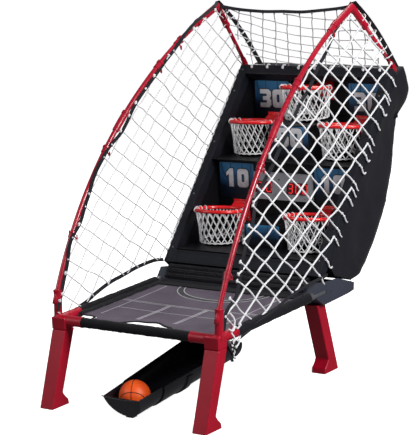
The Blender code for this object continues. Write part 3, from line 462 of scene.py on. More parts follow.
LOOK = {
    "moulding": moulded_look("red_moulding", (0.40, 0.003, 0.020), 0.38, specular=0.35),
    "tube": moulded_look("red_tube_paint", (0.42, 0.005, 0.024), 0.25, 500.0, 0.00003, coat=0.25),
    "rim": moulded_look("rim_paint", (0.92, 0.016, 0.020), 0.22, 400.0, 0.00003, coat=0.4),
    "steel": moulded_look("bare_steel_tube", (0.56, 0.57, 0.60), 0.28, patchy=0.06, metallic=1.0),
    "screw": moulded_look("screw_steel", (0.30, 0.30, 0.32), 0.35, patchy=0.08, metallic=1.0),
    "base": moulded_look("base_moulding", (0.042, 0.046, 0.066), 0.42, 700.0, 0.00012, specular=0.4),
    "board": moulded_look("board_moulding", (0.004, 0.004, 0.006), 0.48, 700.0, 0.00010, specular=0.25),
    "rail": moulded_look("rail_moulding", (0.010, 0.011, 0.016), 0.42, 700.0, 0.00010, specular=0.3),
    "plastic": moulded_look("black_moulding", (0.010, 0.010, 0.014), 0.30, 600.0, 0.00008),
    "scorer": moulded_look("scorer_moulding", (0.260, 0.260, 0.285), 0.42, 800.0),
    "button": moulded_look("button_moulding", (0.30, 0.31, 0.33), 0.35),
    "circuit": moulded_look("circuit_laminate", (0.02, 0.13, 0.05), 0.45, 300.0),
    "paddle": moulded_look("paddle_moulding", (0.012, 0.012, 0.014), 0.35),
    "dark_print": moulded_look("dark_outline_print", (0.010, 0.014, 0.022), 0.45),
    # dark rubber for the ball's seams, and painted shade for the holes in the base and the scorer
    "seam_and_hole_shade": moulded_look("ball_seam_and_hole_shade", (0.012, 0.009, 0.009), 0.5),
    "glow": moulded_look("digit_segments", (0.80, 0.012, 0.016), 0.3, glow=0.8),
    "cord": cord_look("white_cord", (0.86, 0.86, 0.88)),
    "hoop_cord": cord_look("white_hoop_cord", (0.90, 0.90, 0.91)),
    "bag": cloth_look("bag_cloth_weave", (0.008, 0.008, 0.012), sheen=0.06),
    "sleeve": cloth_look("court_border_weave", (0.006, 0.006, 0.009), sheen=0.05),
    "webbing": cloth_look("strap_webbing", (0.014, 0.014, 0.019), 0.0016, 0.1),
    "court_line": cloth_look("court_line_print", (0.62, 0.60, 0.64), 0.0009),
    "court_dark": cloth_look("court_arc_print", (0.010, 0.010, 0.014), 0.0009),
    "court": court_look(),
    "plate": plate_look(),
    "digit": digit_look(),
    "ball": ball_look(),
    "lens": lens_look(),
}


# -------------------------------------------------------------------- shapes
def linked(name, data):
    """An object of the data, in the scene."""
    made = bpy.data.objects.new(name, data)
    bpy.context.scene.collection.objects.link(made)
    return made


def evaluated_mesh(piece):
    """The mesh that a piece's modifiers or curve make."""
    return bpy.data.meshes.new_from_object(piece.evaluated_get(bpy.context.evaluated_depsgraph_get()))


class Shape:
    """Gathers vertices and faces until they become one piece."""

    def __init__(self):
        self.verts = []
        self.faces = []

    def add(self, verts, faces):
        start = len(self.verts)
        self.verts.extend(verts)
        self.faces.extend([[start + index for index in face] for face in faces])

    def grid(self, rows, closed=False):
        """A surface over rows of points; closed joins each row's ends."""
        width = len(rows[0])
        verts = [point for row in rows for point in row]
        faces = []
        for row in range(len(rows) - 1):
            for column in range(width if closed else width - 1):
                after = (column + 1) % width
                faces.append((row * width + column, row * width + after,
                              (row + 1) * width + after, (row + 1) * width + column))
        self.add(verts, faces)

    def tube(self, path, radius, sides=8, closed=False, flat=1.0, caps=True):
        """A bar along a path. radius is one number or one for each point; flat squashes it."""
        count = len(path)
        sizes = radius if isinstance(radius, list) else [radius] * count
        rings, side = [], None
        for index, point in enumerate(path):
            if closed:
                heading = path[(index + 1) % count] - path[index - 1]
            else:
                heading = path[min(index + 1, count - 1)] - path[max(index - 1, 0)]
            heading = heading.normalized()
            if side is None:
                side = heading.orthogonal()
            side = (side - heading * side.dot(heading)).normalized()
            over = heading.cross(side)
            rings.append([point + sizes[index] * (side * math.cos(turn) + over * flat * math.sin(turn))
                          for turn in turns(sides)])
        if closed:
            rings.append(rings[0])
        self.grid(rings, closed=True)
        if caps and not closed:
            self.add(rings[0], [list(range(sides))])
            self.add(rings[-1], [list(range(sides))[::-1]])

    def ribbon(self, path, across, width, thick):
        """A flat band along a path; across is its width's direction, one or one for each point."""
        count = len(path)
        ways = across if isinstance(across, list) else [across] * count
        rings = []
        for index, point in enumerate(path):
            heading = (path[min(index + 1, count - 1)] - path[max(index - 1, 0)]).normalized()
            side = (ways[index] - heading * ways[index].dot(heading)).normalized()
            over = heading.cross(side)
            rings.append([point + side * (width / 2) * a + over * (thick / 2) * b
                          for a, b in ((-1, -1), (1, -1), (1, 1), (-1, 1))])
        self.grid(rings, closed=True)
        self.add(rings[0], [(0, 1, 2, 3)])
        self.add(rings[-1], [(3, 2, 1, 0)])

    def knot(self, centre, radius):
        """A small round knot."""
        self.grid([[centre + radius * polar(math.sin(tilt), turn, math.cos(tilt)) for turn in turns(6)]
                   for tilt in half_turns(4)], closed=True)

    def box(self, corners):
        """A box from its four near corners and then its four far ones."""
        self.add(corners, [(0, 1, 2, 3), (7, 6, 5, 4),
                           (0, 4, 5, 1), (1, 5, 6, 2), (2, 6, 7, 3), (3, 7, 4, 0)])

    def block(self, low, high):
        """A box square to the axes."""
        self.box([Vector((x, y, z)) for z in (low[2], high[2])
                  for x, y in ((low[0], low[1]), (high[0], low[1]), (high[0], high[1]), (low[0], high[1]))])

    def prism(self, outline, x_low, x_high):
        """An outline of depths and heights, extruded across the machine."""
        count = len(outline)
        verts = [place(x, depth, height) for x in (x_low, x_high) for depth, height in outline]
        faces = [list(range(count)), list(range(count, 2 * count))[::-1]]
        faces += [(index, index + count, (index + 1) % count + count, (index + 1) % count)
                  for index in range(count)]
        self.add(verts, faces)

    def piece(self, name, look, slot, body="machine", replaces=(), smooth=True, weld=True):
        mesh = bpy.data.meshes.new(name)
        mesh.from_pydata(self.verts, [], self.faces)
        if weld:
            shape = bmesh.new()
            shape.from_mesh(mesh)
            bmesh.ops.remove_doubles(shape, verts=shape.verts, dist=1e-6)
            bmesh.ops.recalc_face_normals(shape, faces=shape.faces)
            shape.to_mesh(mesh)
            shape.free()
        mesh.validate()
        if smooth:
            mesh.shade_smooth()
        mesh.materials.append(LOOK[look])
        made = linked(name, mesh)
        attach(made, body)
        if replaces:
            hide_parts(*replaces)
        return made


def rounded(piece, width, segments=3, angle=35):
    """Rounds a piece's hard edges, with flat faces kept flat."""
    step = piece.modifiers.new("rounded_edges", "BEVEL")
    step.width = width
    step.segments = segments
    step.limit_method = "ANGLE"
    step.angle_limit = math.radians(angle)
    step.harden_normals = True
    return piece


def moulding(name, shape, voxel, look, slot, replaces):
    """One filleted moulding from overlapping closed shapes."""
    piece = shape.piece(name, look, slot, replaces=replaces, weld=False)
    skin = piece.modifiers.new("skin", "REMESH")
    skin.mode = "VOXEL"
    skin.voxel_size = voxel
    skin.use_smooth_shade = True
    fillet = piece.modifiers.new("fillet", "SMOOTH")
    fillet.factor = 0.5
    fillet.iterations = 5
    applied = evaluated_mesh(piece)
    piece.modifiers.clear()
    piece.data = applied
    applied.shade_smooth()
    return piece


# --------------------------------------------------------------- CAD's nodes
def dress_nodes():
    """Gives each carried-over CAD node its look, and its box edges a small radius."""
    looks = {
        "base": ("base_tray", "ball_ramp"),
        "plastic": ("return_channel", "hinge_strip"),
        "rail": ("side_rail_left", "side_rail_right", "top_rail", "bottom_rail"),
        "board": ("side_wall_left", "side_wall_right", "lower_floor", "upper_floor", "lower_back",
                  "upper_back", "centre_block", "battery_block"),
        "steel": ("front_bar", "side_bar_left", "side_bar_right"),
        "scorer": ("scorer_case",),
        "lens": ("scorer_lens",),
        "button": ("score_button",),
        "circuit": ("circuit_board",),
        "paddle": tuple(f"paddle_{name}" for name in HOOPS),
    }
    edge_radius = {"base": 0.0014, "rail": 0.0016, "board": 0.0007, "plastic": 0.0007, "scorer": 0.0006}
    for look, names in looks.items():
        for name in names:
            node = NODES[name]
            node.data.materials.clear()
            node.data.materials.append(LOOK[look])
            if look in edge_radius:
                weld = node.modifiers.new("weld", "WELD")
                weld.merge_threshold = 1e-5
                edge = node.modifiers.new("edge", "BEVEL")
                edge.width = edge_radius[look]
                edge.segments = 2
                edge.limit_method = "ANGLE"
                edge.angle_limit = math.radians(35)


# ------------------------------------------------------------- frame and legs
def make_legs():
    top_deep, foot_deep, toe_z, toe_out = 0.042, 0.056, 0.026, 0.020
    for end, x, top, foot_d, top_z, way in (("front", FRONT_LEG_X, -0.018, -0.0966, 0.2145, 1),
                                            ("rear", REAR_LEG_X, 0.5520, 0.6100, 0.2137, -1)):
        outline = [
            (top, top_z),
            (foot_d, 0.0),
            (foot_d + way * (foot_deep + toe_out), 0.0),
            (foot_d + way * (foot_deep + toe_out - 0.003), toe_z * 0.62),
            (foot_d + way * (foot_deep + 0.006), toe_z),
            (foot_d + way * (foot_deep - 0.004), toe_z + 0.014),
            (top + way * top_deep, top_z),
        ]
        for side, sign in SIDES.items():
            shape = Shape()
            middle = sign * x
            shape.prism(outline, middle - LEG_WIDTH / 2, middle + LEG_WIDTH / 2)
            leg = shape.piece(f"{end}_leg_moulding_{side}", "moulding", "red_plastic",
                              replaces=(f"{end}_leg_{side}",))
            rounded(leg, 0.0030, 4, 25)


def make_corners():
    for side, sign in SIDES.items():
        shape = Shape()
        x_in, x_out = sorted((sign * (FRONT_LEG_X - LEG_WIDTH / 2), sign * (FRONT_LEG_X + LEG_WIDTH / 2)))
        block_front, block_rear, block_foot, block_head = -0.0180, 0.0240, 0.2150, 0.2500
        shape.block(place(x_in, block_front, block_foot), place(x_out, block_rear, block_head))
        front_stub = [place(sign * x, 0.0, CORNER_Z) for x in (STUB_OUTER_X, STUB_INNER_X)]
        shape.tube(front_stub, STUB_R, 32)
        side_stub = [place(sign * SIDE_BAR_X, -0.012, CORNER_Z), side_bar_point(sign, STUB_REAR_D)]
        shape.tube(side_stub, STUB_R, 32)
        foot, mouth = place(sign * SOCKET_X, 0.0005, CORNER_Z), pole_point(sign, POLE_FOOT_Z)
        shape.tube([foot, mouth], SOCKET_R, 32)
        moulding(f"corner_fitting_{side}", shape, 0.0016, "moulding", "red_plastic", (f"corner_{side}",))

        rings = Shape()
        front_ring = [place(sign * (STUB_INNER_X + out), 0.0, CORNER_Z) for out in (0.006, -0.0005)]
        side_ring = [side_bar_point(sign, STUB_REAR_D + back) for back in (-0.006, 0.0005)]
        socket_ring = [foot.lerp(mouth, share) for share in (0.93, 1.005)]
        for path, radius in ((front_ring, STUB_R), (side_ring, STUB_R), (socket_ring, SOCKET_R)):
            rings.tube(path, radius + 0.0009, 32)
        rounded(rings.piece(f"corner_collars_{side}", "moulding", "red_plastic"), 0.0008, 2)


def pole_path(sign, low, high, count):
    return [pole_point(sign, height) for height in spread(low, high, count)]


# a sleeve with a raised collar near its top: height from its middle, and radius
FERRULE_PROFILE = ((-0.024, 0.0090), (-0.0235, 0.0100), (-0.012, 0.0102), (0.0, 0.0103), (0.012, 0.0102),
                   (0.0175, 0.0100), (0.018, 0.0114), (0.024, 0.0114), (0.0245, 0.0100))
# out of the pole and up, from a clip's face
HOOK_ROUTE = ((0.0, 0.0), (0.010, 0.0), (0.017, -0.004), (0.021, 0.002), (0.020, 0.010))
# heights of the clips on each pole
CLIPS = {
    "left": (0.469, 0.689, 0.904, 0.964),
    "right": (0.406, 0.671, 0.871, 1.002),
}


def make_poles():
    for side, sign in SIDES.items():
        for half, low, high, count in (("lower", 0.287, FERRULE_Z - GAP, 30),
                                       ("upper", FERRULE_Z + GAP, POLE_TIP_Z, 24)):
            shape = Shape()
            shape.tube(pole_path(sign, low, high, count), POLE_R, 24)
            shape.piece(f"pole_tube_{half}_{side}", "tube", "red_tube", replaces=(f"pole_{half}_{side}",))
        shape = Shape()
        shape.tube([pole_point(sign, FERRULE_Z + height) for height, _ in FERRULE_PROFILE],
                   [radius for _, radius in FERRULE_PROFILE], 28)
        rounded(shape.piece(f"pole_ferrule_{side}", "tube", "red_tube"), 0.0006, 2)

        shape = Shape()
        for height in CLIPS[side]:
            shape.tube(pole_path(sign, height - 0.0075, height + 0.0075, 3), POLE_R + 0.0022, 24)
            shape.tube(pole_path(sign, height + 0.0040, height + 0.0085, 2), POLE_R + 0.0040, 24)
            root = pole_point(sign, height, 0.006)
            inward = (pole_point(sign, height, 0.05) - pole_point(sign, height)).normalized()
            hook = [root + inward * out + Vector((0, 0, up)) for out, up in HOOK_ROUTE]
            shape.tube(through(hook, 5), 0.0021, 10)
        rounded(shape.piece(f"pole_clips_{side}", "tube", "red_tube"), 0.0005, 2)


def make_elbows():
    for side, sign in SIDES.items():
        apex = place(sign * APEX[0], APEX[1], APEX[2])
        shape = Shape()
        shape.tube([pole_point(sign, ELBOW_FOOT_Z), pole_point(sign, APEX[2] + 0.0005)], ELBOW_POLE_R, 32)
        shape.tube([strut_point(sign, share) for share in (-0.01, ELBOW_SHARE)], ELBOW_STRUT_R, 32)
        shape.knot(apex, 0.0114)
        moulding(f"elbow_fitting_{side}", shape, 0.0013, "moulding", "red_plastic", (f"elbow_{side}",))
        shape = Shape()
        collar = [pole_point(sign, ELBOW_FOOT_Z + up) for up in (-0.0025, 0.0035)]
        shape.tube(collar, ELBOW_POLE_R + 0.0011, 28)
        collar = [strut_point(sign, ELBOW_SHARE + along) for along in (-0.025, 0.005)]
        shape.tube(collar, ELBOW_STRUT_R + 0.0012, 28)
        rounded(shape.piece(f"elbow_collars_{side}", "moulding", "red_plastic"), 0.0008, 2)

        shape = Shape()
        shape.tube([strut_point(sign, 0.19), strut_point(sign, 0.985)], STRUT_R, 24)
        shape.piece(f"strut_tube_{side}", "tube", "red_tube", replaces=(f"strut_{side}",))
        shape = Shape()
        x_low, x_high = sorted((sign * 0.2650, sign * 0.2795))      # across the strut's foot
        low, high, front, rear = BOARD_LENGTH + GAP, BOARD_LENGTH + 0.0110, 0.004, 0.024
        corners = ((low, front), (high, front), (high, rear), (low, rear))
        shape.box([on_slope(x, along, behind) for x in (x_low, x_high) for along, behind in corners])
        shape.tube([strut_point(sign, 0.90), strut_point(sign, 1.0)], 0.0082, 24)
        rounded(shape.piece(f"strut_socket_{side}", "moulding", "red_plastic"), 0.0012, 3)


# --------------------------------------------------------------------- court
def court_point(x, depth, lift=0.0):
    """A point of the stretched cloth: it sags a little and ripples near its edges."""
    share_x = min(1.0, abs(x) / SIDE_BAR_X)
    share_d = max(0.0, min(1.0, depth / COURT_REAR_D))
    sag = 0.0050 * (1 - share_x ** 2) * math.sin(math.pi * share_d)
    level = CORNER_Z + (REAR_BAR_Z - CORNER_Z) / BASE_FRONT_D * depth
    spot = place(x, depth, level + 0.0008 - sag)
    near_edge = max(share_x ** 6, (1 - share_d) ** 5)
    spot.z += (0.0006 + 0.0016 * near_edge) * ripple(spot, 0.045) + lift
    return spot


def court_front(x):
    """Where the cloth's front edge lies: sewn to the sleeve at its sides, drawn back between."""
    reach = 0.112
    if abs(x) >= reach:
        return 0.009
    curve = math.cos(math.pi / 2 * x / reach) ** 0.7
    return 0.009 + 0.064 * curve + 0.004 * math.sin(x * 90)


# how deep the cloth is cut away round each corner fitting, from its left and its right edge
NOTCH_X = 0.186
NOTCH_DEPTH = {-1: 0.062, 1: 0.036}


def make_court():
    half = SIDE_BAR_X - 0.004
    rear = COURT_REAR_D
    columns, rows = 96, 72
    shape = Shape()
    grid = []
    for row in range(rows + 1):
        line = []
        for column in range(columns + 1):
            x = half * (2 * column / columns - 1)
            front = court_front(x)
            if abs(x) > NOTCH_X:
                front = NOTCH_DEPTH[-1 if x < 0 else 1]
            line.append(court_point(x, front + (rear - front) * (row / rows)))
        grid.append(line)
    shape.grid(grid)
    cloth = shape.piece("court_cloth", "court", "court_cloth", replaces=("court_fabric",))
    skin = cloth.modifiers.new("skin", "SOLIDIFY")
    skin.thickness = 0.0010
    sleeves = make_court_sleeves(half)
    hems = make_court_hems(half)
    lines = make_court_lines()


def make_court_sleeves(half):
    """Loose cloth round the three tubes, and the puffed band inside each side tube."""
    border = Shape()
    for sign in SIDES.values():
        side_path = [side_bar_point(sign, 0.087 + 0.003 * step) for step in range(124)]
        wrap_sleeve(border, side_path, 0.0148, sign)
        wide = 0.030 if sign < 0 else 0.024
        rows = []
        for depth in spread(NOTCH_DEPTH[sign] + 0.004, COURT_REAR_D, 124):
            line = []
            for column in range(7):
                x = sign * (half - wide * column / 6)
                lift = 0.0022 + 0.0034 * math.sin(math.pi * column / 6) ** 0.6
                spot = court_point(x, depth, lift)
                spot.z += 0.0022 * ripple(spot, 0.024, 3.0) + 0.0010 * ripple(spot, 0.009, 5.0)
                line.append(spot)
            rows.append(line)
        border.grid(rows)
    front_path = [place(-0.189 + 0.003 * step, 0.0, CORNER_Z) for step in range(127)]
    wrap_sleeve(border, front_path, 0.0142, 1)
    return border.piece("court_sleeves", "sleeve", "court_cloth")


def make_court_hems(half):
    """Flat bands along the cloth's front curve, its two notches and its rear edge."""
    hem = Shape()
    front = [court_point(x, court_front(x) + 0.003, 0.0016) for x in spread(-NOTCH_X, NOTCH_X, 90)]
    hem.ribbon(front, Vector((0, 1, 0)), 0.007, 0.0012)
    for sign in SIDES.values():
        deep = NOTCH_DEPTH[sign]
        notch = [court_point(sign * x, depth, 0.0014) for x, depth in
                 ((NOTCH_X, 0.012), (NOTCH_X, deep * 0.6), (NOTCH_X + 0.012, deep * 0.94),
                  (half - 0.02, deep + 0.002))]
        hem.ribbon(through(notch, 12), Vector((sign, 1, 0)).normalized(), 0.008, 0.0012)
    rear_band = [court_point(x, COURT_REAR_D - 0.020, 0.0018) for x in spread(-half, half, 40)]
    hem.ribbon(rear_band, Vector((0, 1, 0)), 0.044, 0.0014)
    return hem.piece("court_hems", "sleeve", "court_cloth", smooth=False)


def wrap_sleeve(shape, path, radius, sign):
    """Loose cloth round a tube, creased along and across it."""
    rings = []
    for index, centre in enumerate(path):
        before, after = path[max(index - 1, 0)], path[min(index + 1, len(path) - 1)]
        heading = (after - before).normalized()
        out = heading.cross(Vector((0, 0, 1))).normalized()
        over = out.cross(heading)
        ring = []
        for turn in turns(20):
            way = out * math.cos(turn) + over * math.sin(turn)
            spot = centre + way * radius
            crease = 0.0012 * ripple(spot, 0.016, 7.0 + sign) + 0.0006 * ripple(spot, 0.006, 11.0)
            ring.append(spot + way * (crease + 0.0004))
        rings.append(ring)
    shape.grid(rings, closed=True)


def make_court_lines():
    """Printed lines: a double line across, the key, and the arc at the back."""
    light, dark = Shape(), Shape()

    def line(ends, width):
        (x0, d0), (x1, d1) = ends
        count = max(2, int(math.hypot(x1 - x0, d1 - d0) / 0.012))
        path = [court_point(x, depth, 0.0006)
                for x, depth in zip(spread(x0, x1, count), spread(d0, d1, count))]
        light.ribbon(path, Vector((0, 0, 1)).cross(path[-1] - path[0]).normalized(), width, 0.0005)

    for depth in (0.246, 0.254):
        line([(-0.236, depth), (0.236, depth)], 0.0016)
    for x in (-0.062, -0.070, 0.062, 0.070):
        line([(x, 0.090), (x, 0.248)], 0.0022)
    side_x = 0.205
    for x in (-side_x, side_x):
        line([(x, 0.100), (x, 0.420)], 0.0016)
    line([(-side_x, 0.180), (side_x, 0.180)], 0.0016)

    def arc(grow, lift):
        return [court_point((0.150 + grow) * math.cos(turn), 0.440 - (0.105 + grow) * math.sin(turn), lift)
                for turn in half_turns(48)]

    across = [Vector((math.cos(turn), -math.sin(turn), 0)) for turn in half_turns(48)]
    dark.ribbon(arc(0.0, 0.0006), across, 0.016, 0.0005)
    for grow in (-0.0100, 0.0100):
        light.ribbon(arc(grow, 0.0010), across, 0.0024, 0.0005)
    return [light.piece("court_light_lines", "court_line", "court_cloth", smooth=False),
            dark.piece("court_dark_arc", "court_dark", "court_cloth", smooth=False)]


# -------------------------------------------------------------------- trough
def channel(shape, start, end, outer, lean, lip, front_wall=0.0, rear_wall=0.0):
    """A half pipe open on top, with a rolled lip along both rims and round its leaning front."""
    sides, wall = 48, TROUGH_WALL

    def arc(radius, along, slant):
        ring = []
        for turn in half_turns(sides, math.pi):
            up = radius * math.sin(turn)
            reach = along - slant * (up + outer)
            ring.append(trough_point((radius + TROUGH_FLARE * reach) * math.cos(turn), reach, up))
        return ring

    stations = spread(start, end, 24)
    slants = spread(lean, 0.0, 24)
    outside = [arc(outer, along, slant) for along, slant in zip(stations, slants)]
    inside = [arc(outer - wall, along, slant) for along, slant in zip(stations, slants)]
    shape.grid(outside)
    shape.grid(inside)
    for edge in (0, -1):
        shape.grid([[row[edge] for row in outside], [row[edge] for row in inside]])
    for end_index, has_wall in ((0, front_wall), (-1, rear_wall)):
        if has_wall:
            shape.add(outside[end_index], [list(range(sides + 1))])
            shift = has_wall if end_index == 0 else -has_wall
            move = trough_point(0, shift, 0) - trough_point(0, 0, 0)
            inner_end = [point + move for point in inside[end_index]]
            shape.add(inner_end, [list(range(sides + 1))[::-1]])
            shape.grid([[outside[end_index][0], outside[end_index][-1]], [inner_end[0], inner_end[-1]]])
        else:
            shape.grid([outside[end_index], inside[end_index]])
    for edge, sign in ((0, -1), (-1, 1)):
        rim = [row[edge].lerp(other[edge], 0.5) for row, other in zip(outside, inside)]
        shape.tube([point + Vector((sign * lip * 0.4, 0, 0)) for point in rim], lip, 12, flat=0.6)
    if front_wall:
        left = outside[0][0] + Vector((-0.0035, -0.002, 0.0010))
        right = outside[0][-1] + Vector((0.0035, -0.002, 0.0010))
        shape.tube([left.lerp(right, share) - Vector((0, 0, 0.004 * math.sin(math.pi * share)))
                    for share in spread(0.0, 1.0, 12)], lip * 0.9, 10)


def make_trough():
    length = (TROUGH_REAR_D - TROUGH_FRONT_D) / math.cos(TROUGH_SLOPE)
    shape = Shape()
    channel(shape, 0.0, 0.240, TROUGH_R - TROUGH_WALL - TROUGH_NEST, 0.35, 0.0016, front_wall=TROUGH_WALL)
    pad_half, pad_front, pad_rear, pad_top = 0.012, -0.055, -0.035, 0.0058
    shape.block(place(-pad_half, pad_front, FLOOR_GAP), place(pad_half, pad_rear, pad_top))
    front = shape.piece("trough_front_channel", "plastic", "black_plastic", replaces=("trough_front",))
    front.data.set_sharp_from_angle(angle=math.radians(40))
    shape = Shape()
    channel(shape, 0.085, length, TROUGH_R, 0.0, 0.0018, rear_wall=TROUGH_WALL)
    saddle_low, saddle_high = 0.185, 0.209
    rings = []
    for along, stands_out in ((saddle_low, 0.0), (saddle_low + 0.001, 0.0045),
                              (saddle_high - 0.001, 0.0045), (saddle_high, 0.0)):
        radius = TROUGH_R + stands_out
        half = radius + TROUGH_FLARE * along
        rings.append([trough_point(half * math.cos(turn), along, radius * math.sin(turn))
                      for turn in (math.pi + 0.12 + (math.pi - 0.24) * step / 40 for step in range(41))])
    shape.grid(rings)
    foot_half, foot_top = 0.014, 0.0520
    shape.block(place(-foot_half, TROUGH_REAR_D - 0.024, FLOOR_GAP),
                place(foot_half, TROUGH_REAR_D - 0.008, foot_top))
    hanger_half, hanger_foot, hanger_top = 0.012, 0.1100, 0.1277
    shape.block(place(-hanger_half, TROUGH_REAR_D - 0.0023, hanger_foot),
                place(hanger_half, TROUGH_REAR_D - 0.0002, hanger_top))
    rear = shape.piece("trough_rear_channel", "plastic", "black_plastic", replaces=("trough_rear",))
    rear.data.set_sharp_from_angle(angle=math.radians(40))


def make_ball():
    along = 0.040
    up = -(TROUGH_R - 2 * TROUGH_WALL - TROUGH_NEST) + BALL_R + GAP
    centre = trough_point(0, along, up)
    turn = Matrix.Rotation(math.radians(24), 3, "Z") @ Matrix.Rotation(math.radians(18), 3, "X")
    shape = Shape()
    shape.grid([[centre + turn @ (BALL_R * polar(math.sin(tilt), angle, math.cos(tilt)))
                 for angle in turns(96)] for tilt in half_turns(48)], closed=True)
    shape.piece("ball_skin", "ball", "ball_rubber", body="ball", replaces=("ball",))

    seams = Shape()
    great_circles = [[Vector((0, math.cos(angle), math.sin(angle))) for angle in turns(96)],
                     [polar(1.0, angle) for angle in turns(96)]]
    wide = 0.74
    side_seams = [[Vector((wide * math.cos(angle), way * (0.62 - 0.10 * math.cos(2 * angle)),
                           wide * math.sin(angle))) for angle in turns(96)] for way in (-1, 1)]
    seam_r = BALL_R - 0.0003
    for path in great_circles + side_seams:
        seams.tube([centre + turn @ (spot.normalized() * seam_r) for spot in path], 0.0012, 6, closed=True)
    seams.piece("ball_seams", "seam_and_hole_shade", "ball_rubber", body="ball")


# --------------------------------------------------------------------- hoops
def make_hoop(name, x, depth, height, back):
    centre = place(x, depth, height)
    shape = Shape()
    shape.tube([tilted(centre, polar(RIM_R, turn)) for turn in turns(96)], RIM_BAR_R, 20, closed=True)
    ring_back = depth + RIM_R * math.cos(RIM_TILT)
    low = height - RIM_R * math.sin(RIM_TILT)
    inset = back - BRACKET_THICK
    arm_near, arm_far = 0.019, 0.025
    upper, lower = [], []
    for share in spread(0.0, 1.0, 8):
        half = arm_near + (arm_far - arm_near) * share ** 2
        at = ring_back - 0.003 + (inset - ring_back + 0.003) * share
        top_z = low + 0.0035 + (height + 0.0060 - low - 0.0035) * (share * share * (3 - 2 * share))
        upper.append([place(edge, at, top_z) for edge in (x - half, x + half)])
        lower.append([place(edge, at, low - 0.0042) for edge in (x - half, x + half)])
    shape.grid(upper)
    shape.grid(lower)
    for edge in (0, 1):
        shape.grid([[row[edge] for row in upper], [row[edge] for row in lower]])
    pivot_d, pivot_z = back - PADDLE_STAND, height - PADDLE_DROP
    shape.block(place(x - BRACKET_HALF, inset, pivot_z - 0.010),
                place(x + BRACKET_HALF, back - GAP, height + 0.012))
    for sign in SIDES.values():
        x_low, x_high = sorted((x + sign * 0.0090, x + sign * 0.0115))
        shape.block(place(x_low, pivot_d - 0.0040, pivot_z - 0.0040), place(x_high, inset, pivot_z + 0.0040))
    rim = shape.piece(f"rim_hoop_{name}", "rim", "rim_red", replaces=(f"rim_{name}",))
    rounded(rim, 0.0012, 3, 40)

    screws = Shape()
    for sign in SIDES.values():
        for z in (height + 0.004, pivot_z):
            screw = [place(x + sign * 0.024, at, z) for at in (inset + 0.001, inset - 0.0014)]
            screws.tube(screw, 0.0026, 16)
        pin = [place(x + sign * out, pivot_d, pivot_z) for out in (0.0090, 0.0126)]
        screws.tube(pin, 0.0021, 14)
    rounded(screws.piece(f"rim_screws_{name}", "screw", "bare_steel"), 0.0005, 2)
    make_hoop_net(name, centre)


def make_hoop_net(name, centre):
    """Diamond net with a ring at its foot, and a slot at its back for the score paddle."""
    levels = (-0.004, 0.022, 0.043, 0.063, 0.080, NET_DROP)
    shape = Shape()

    def knot_at(strand, level):
        drop = levels[level]
        share = max(0.0, drop) / NET_DROP
        turn = 2 * math.pi * (strand + 0.5 * (level % 2)) / HOOP_STRANDS
        radius = RIM_R + (NET_FOOT_R - RIM_R) * share ** 0.8 - 0.0015 * math.sin(math.pi * share)
        offset = polar(radius, turn)
        offset.z = -offset.y * math.sin(RIM_TILT) * (1 - share) - drop
        wander = 0.0012 * share
        offset.x += wander * ripple(centre + offset, 0.02, level)
        offset.z += wander * ripple(centre + offset, 0.02, 9.0 + level)
        return centre + offset

    def in_slot(spot):
        offset = spot - centre
        return abs(offset.x) < SLOT_HALF and offset.y > 0 and -SLOT_FOOT < offset.z < -SLOT_HEAD

    for strand in range(HOOP_STRANDS):
        for level in range(len(levels) - 1):
            start = knot_at(strand, level)
            shifts = (0, -1) if level % 2 == 0 else (0, 1)
            for shift in shifts:
                end = knot_at(strand + shift, level + 1)
                middle = start.lerp(end, 0.5)
                out = Vector((middle.x - centre.x, middle.y - centre.y, 0)).normalized()
                path = through([start, middle + out * 0.0008 * (1 if shift else -1), end], 2)
                if not any(in_slot(spot) for spot in path):
                    shape.tube(path, HOOP_CORD_R, 6, caps=False)
            if level and not in_slot(start):
                shape.knot(start, HOOP_CORD_R * 1.25)
    foot = [centre + polar(NET_FOOT_R, turn, 0.0012 * math.cos(turn * HOOP_STRANDS) - NET_DROP)
            for turn in turns(HOOP_STRANDS * 4)]
    shape.tube(foot, HOOP_CORD_R * 1.1, 8, closed=True)
    loop_r = RIM_BAR_R + HOOP_CORD_R * 0.7
    for strand, turn in enumerate(turns(HOOP_STRANDS)):
        if abs(math.cos(turn)) > 0.93 or strand % 11 == 3:
            loop = [tilted(centre, polar(RIM_R + loop_r * math.cos(over), turn, loop_r * math.sin(over)))
                    for over in turns(10)]
            shape.tube(loop, HOOP_CORD_R * 0.9, 6, closed=True)
    shape.piece(f"hoop_net_cords_{name}", "hoop_cord", "hoop_net",
                replaces=(f"hoop_net_{name}",), weld=False)


# ------------------------------------------------------------- number plates
def outline_curve(name, loops, extrude, bevel, offset=0.0):
    """A flat filled shape from closed outlines, with rounded edges, as a mesh in its own plane."""
    curve = bpy.data.curves.new(name, "CURVE")
    curve.dimensions = "2D"
    curve.fill_mode = "BOTH"
    curve.extrude = extrude
    curve.bevel_depth = bevel
    curve.bevel_resolution = 2
    curve.offset = offset
    for loop in loops:
        spline = curve.splines.new("POLY")
        spline.points.add(len(loop) - 1)
        for point, (across, up) in zip(spline.points, loop):
            point.co = (across, up, 0, 1)
        spline.use_cyclic_u = True
    holder = linked(name, curve)
    mesh = evaluated_mesh(holder)
    bpy.data.objects.remove(holder)
    return mesh


def corner_arc(x, y, radius, start):
    return [(x + radius * math.cos(turn), y + radius * math.sin(turn))
            for turn in spread(start, start + math.pi / 2, 4)]


def round_rect(low_x, low_y, high_x, high_y, radius):
    return (corner_arc(high_x - radius, high_y - radius, radius, 0)
            + corner_arc(low_x + radius, high_y - radius, radius, math.pi / 2)
            + corner_arc(low_x + radius, low_y + radius, radius, math.pi)
            + corner_arc(high_x - radius, low_y + radius, radius, 3 * math.pi / 2))


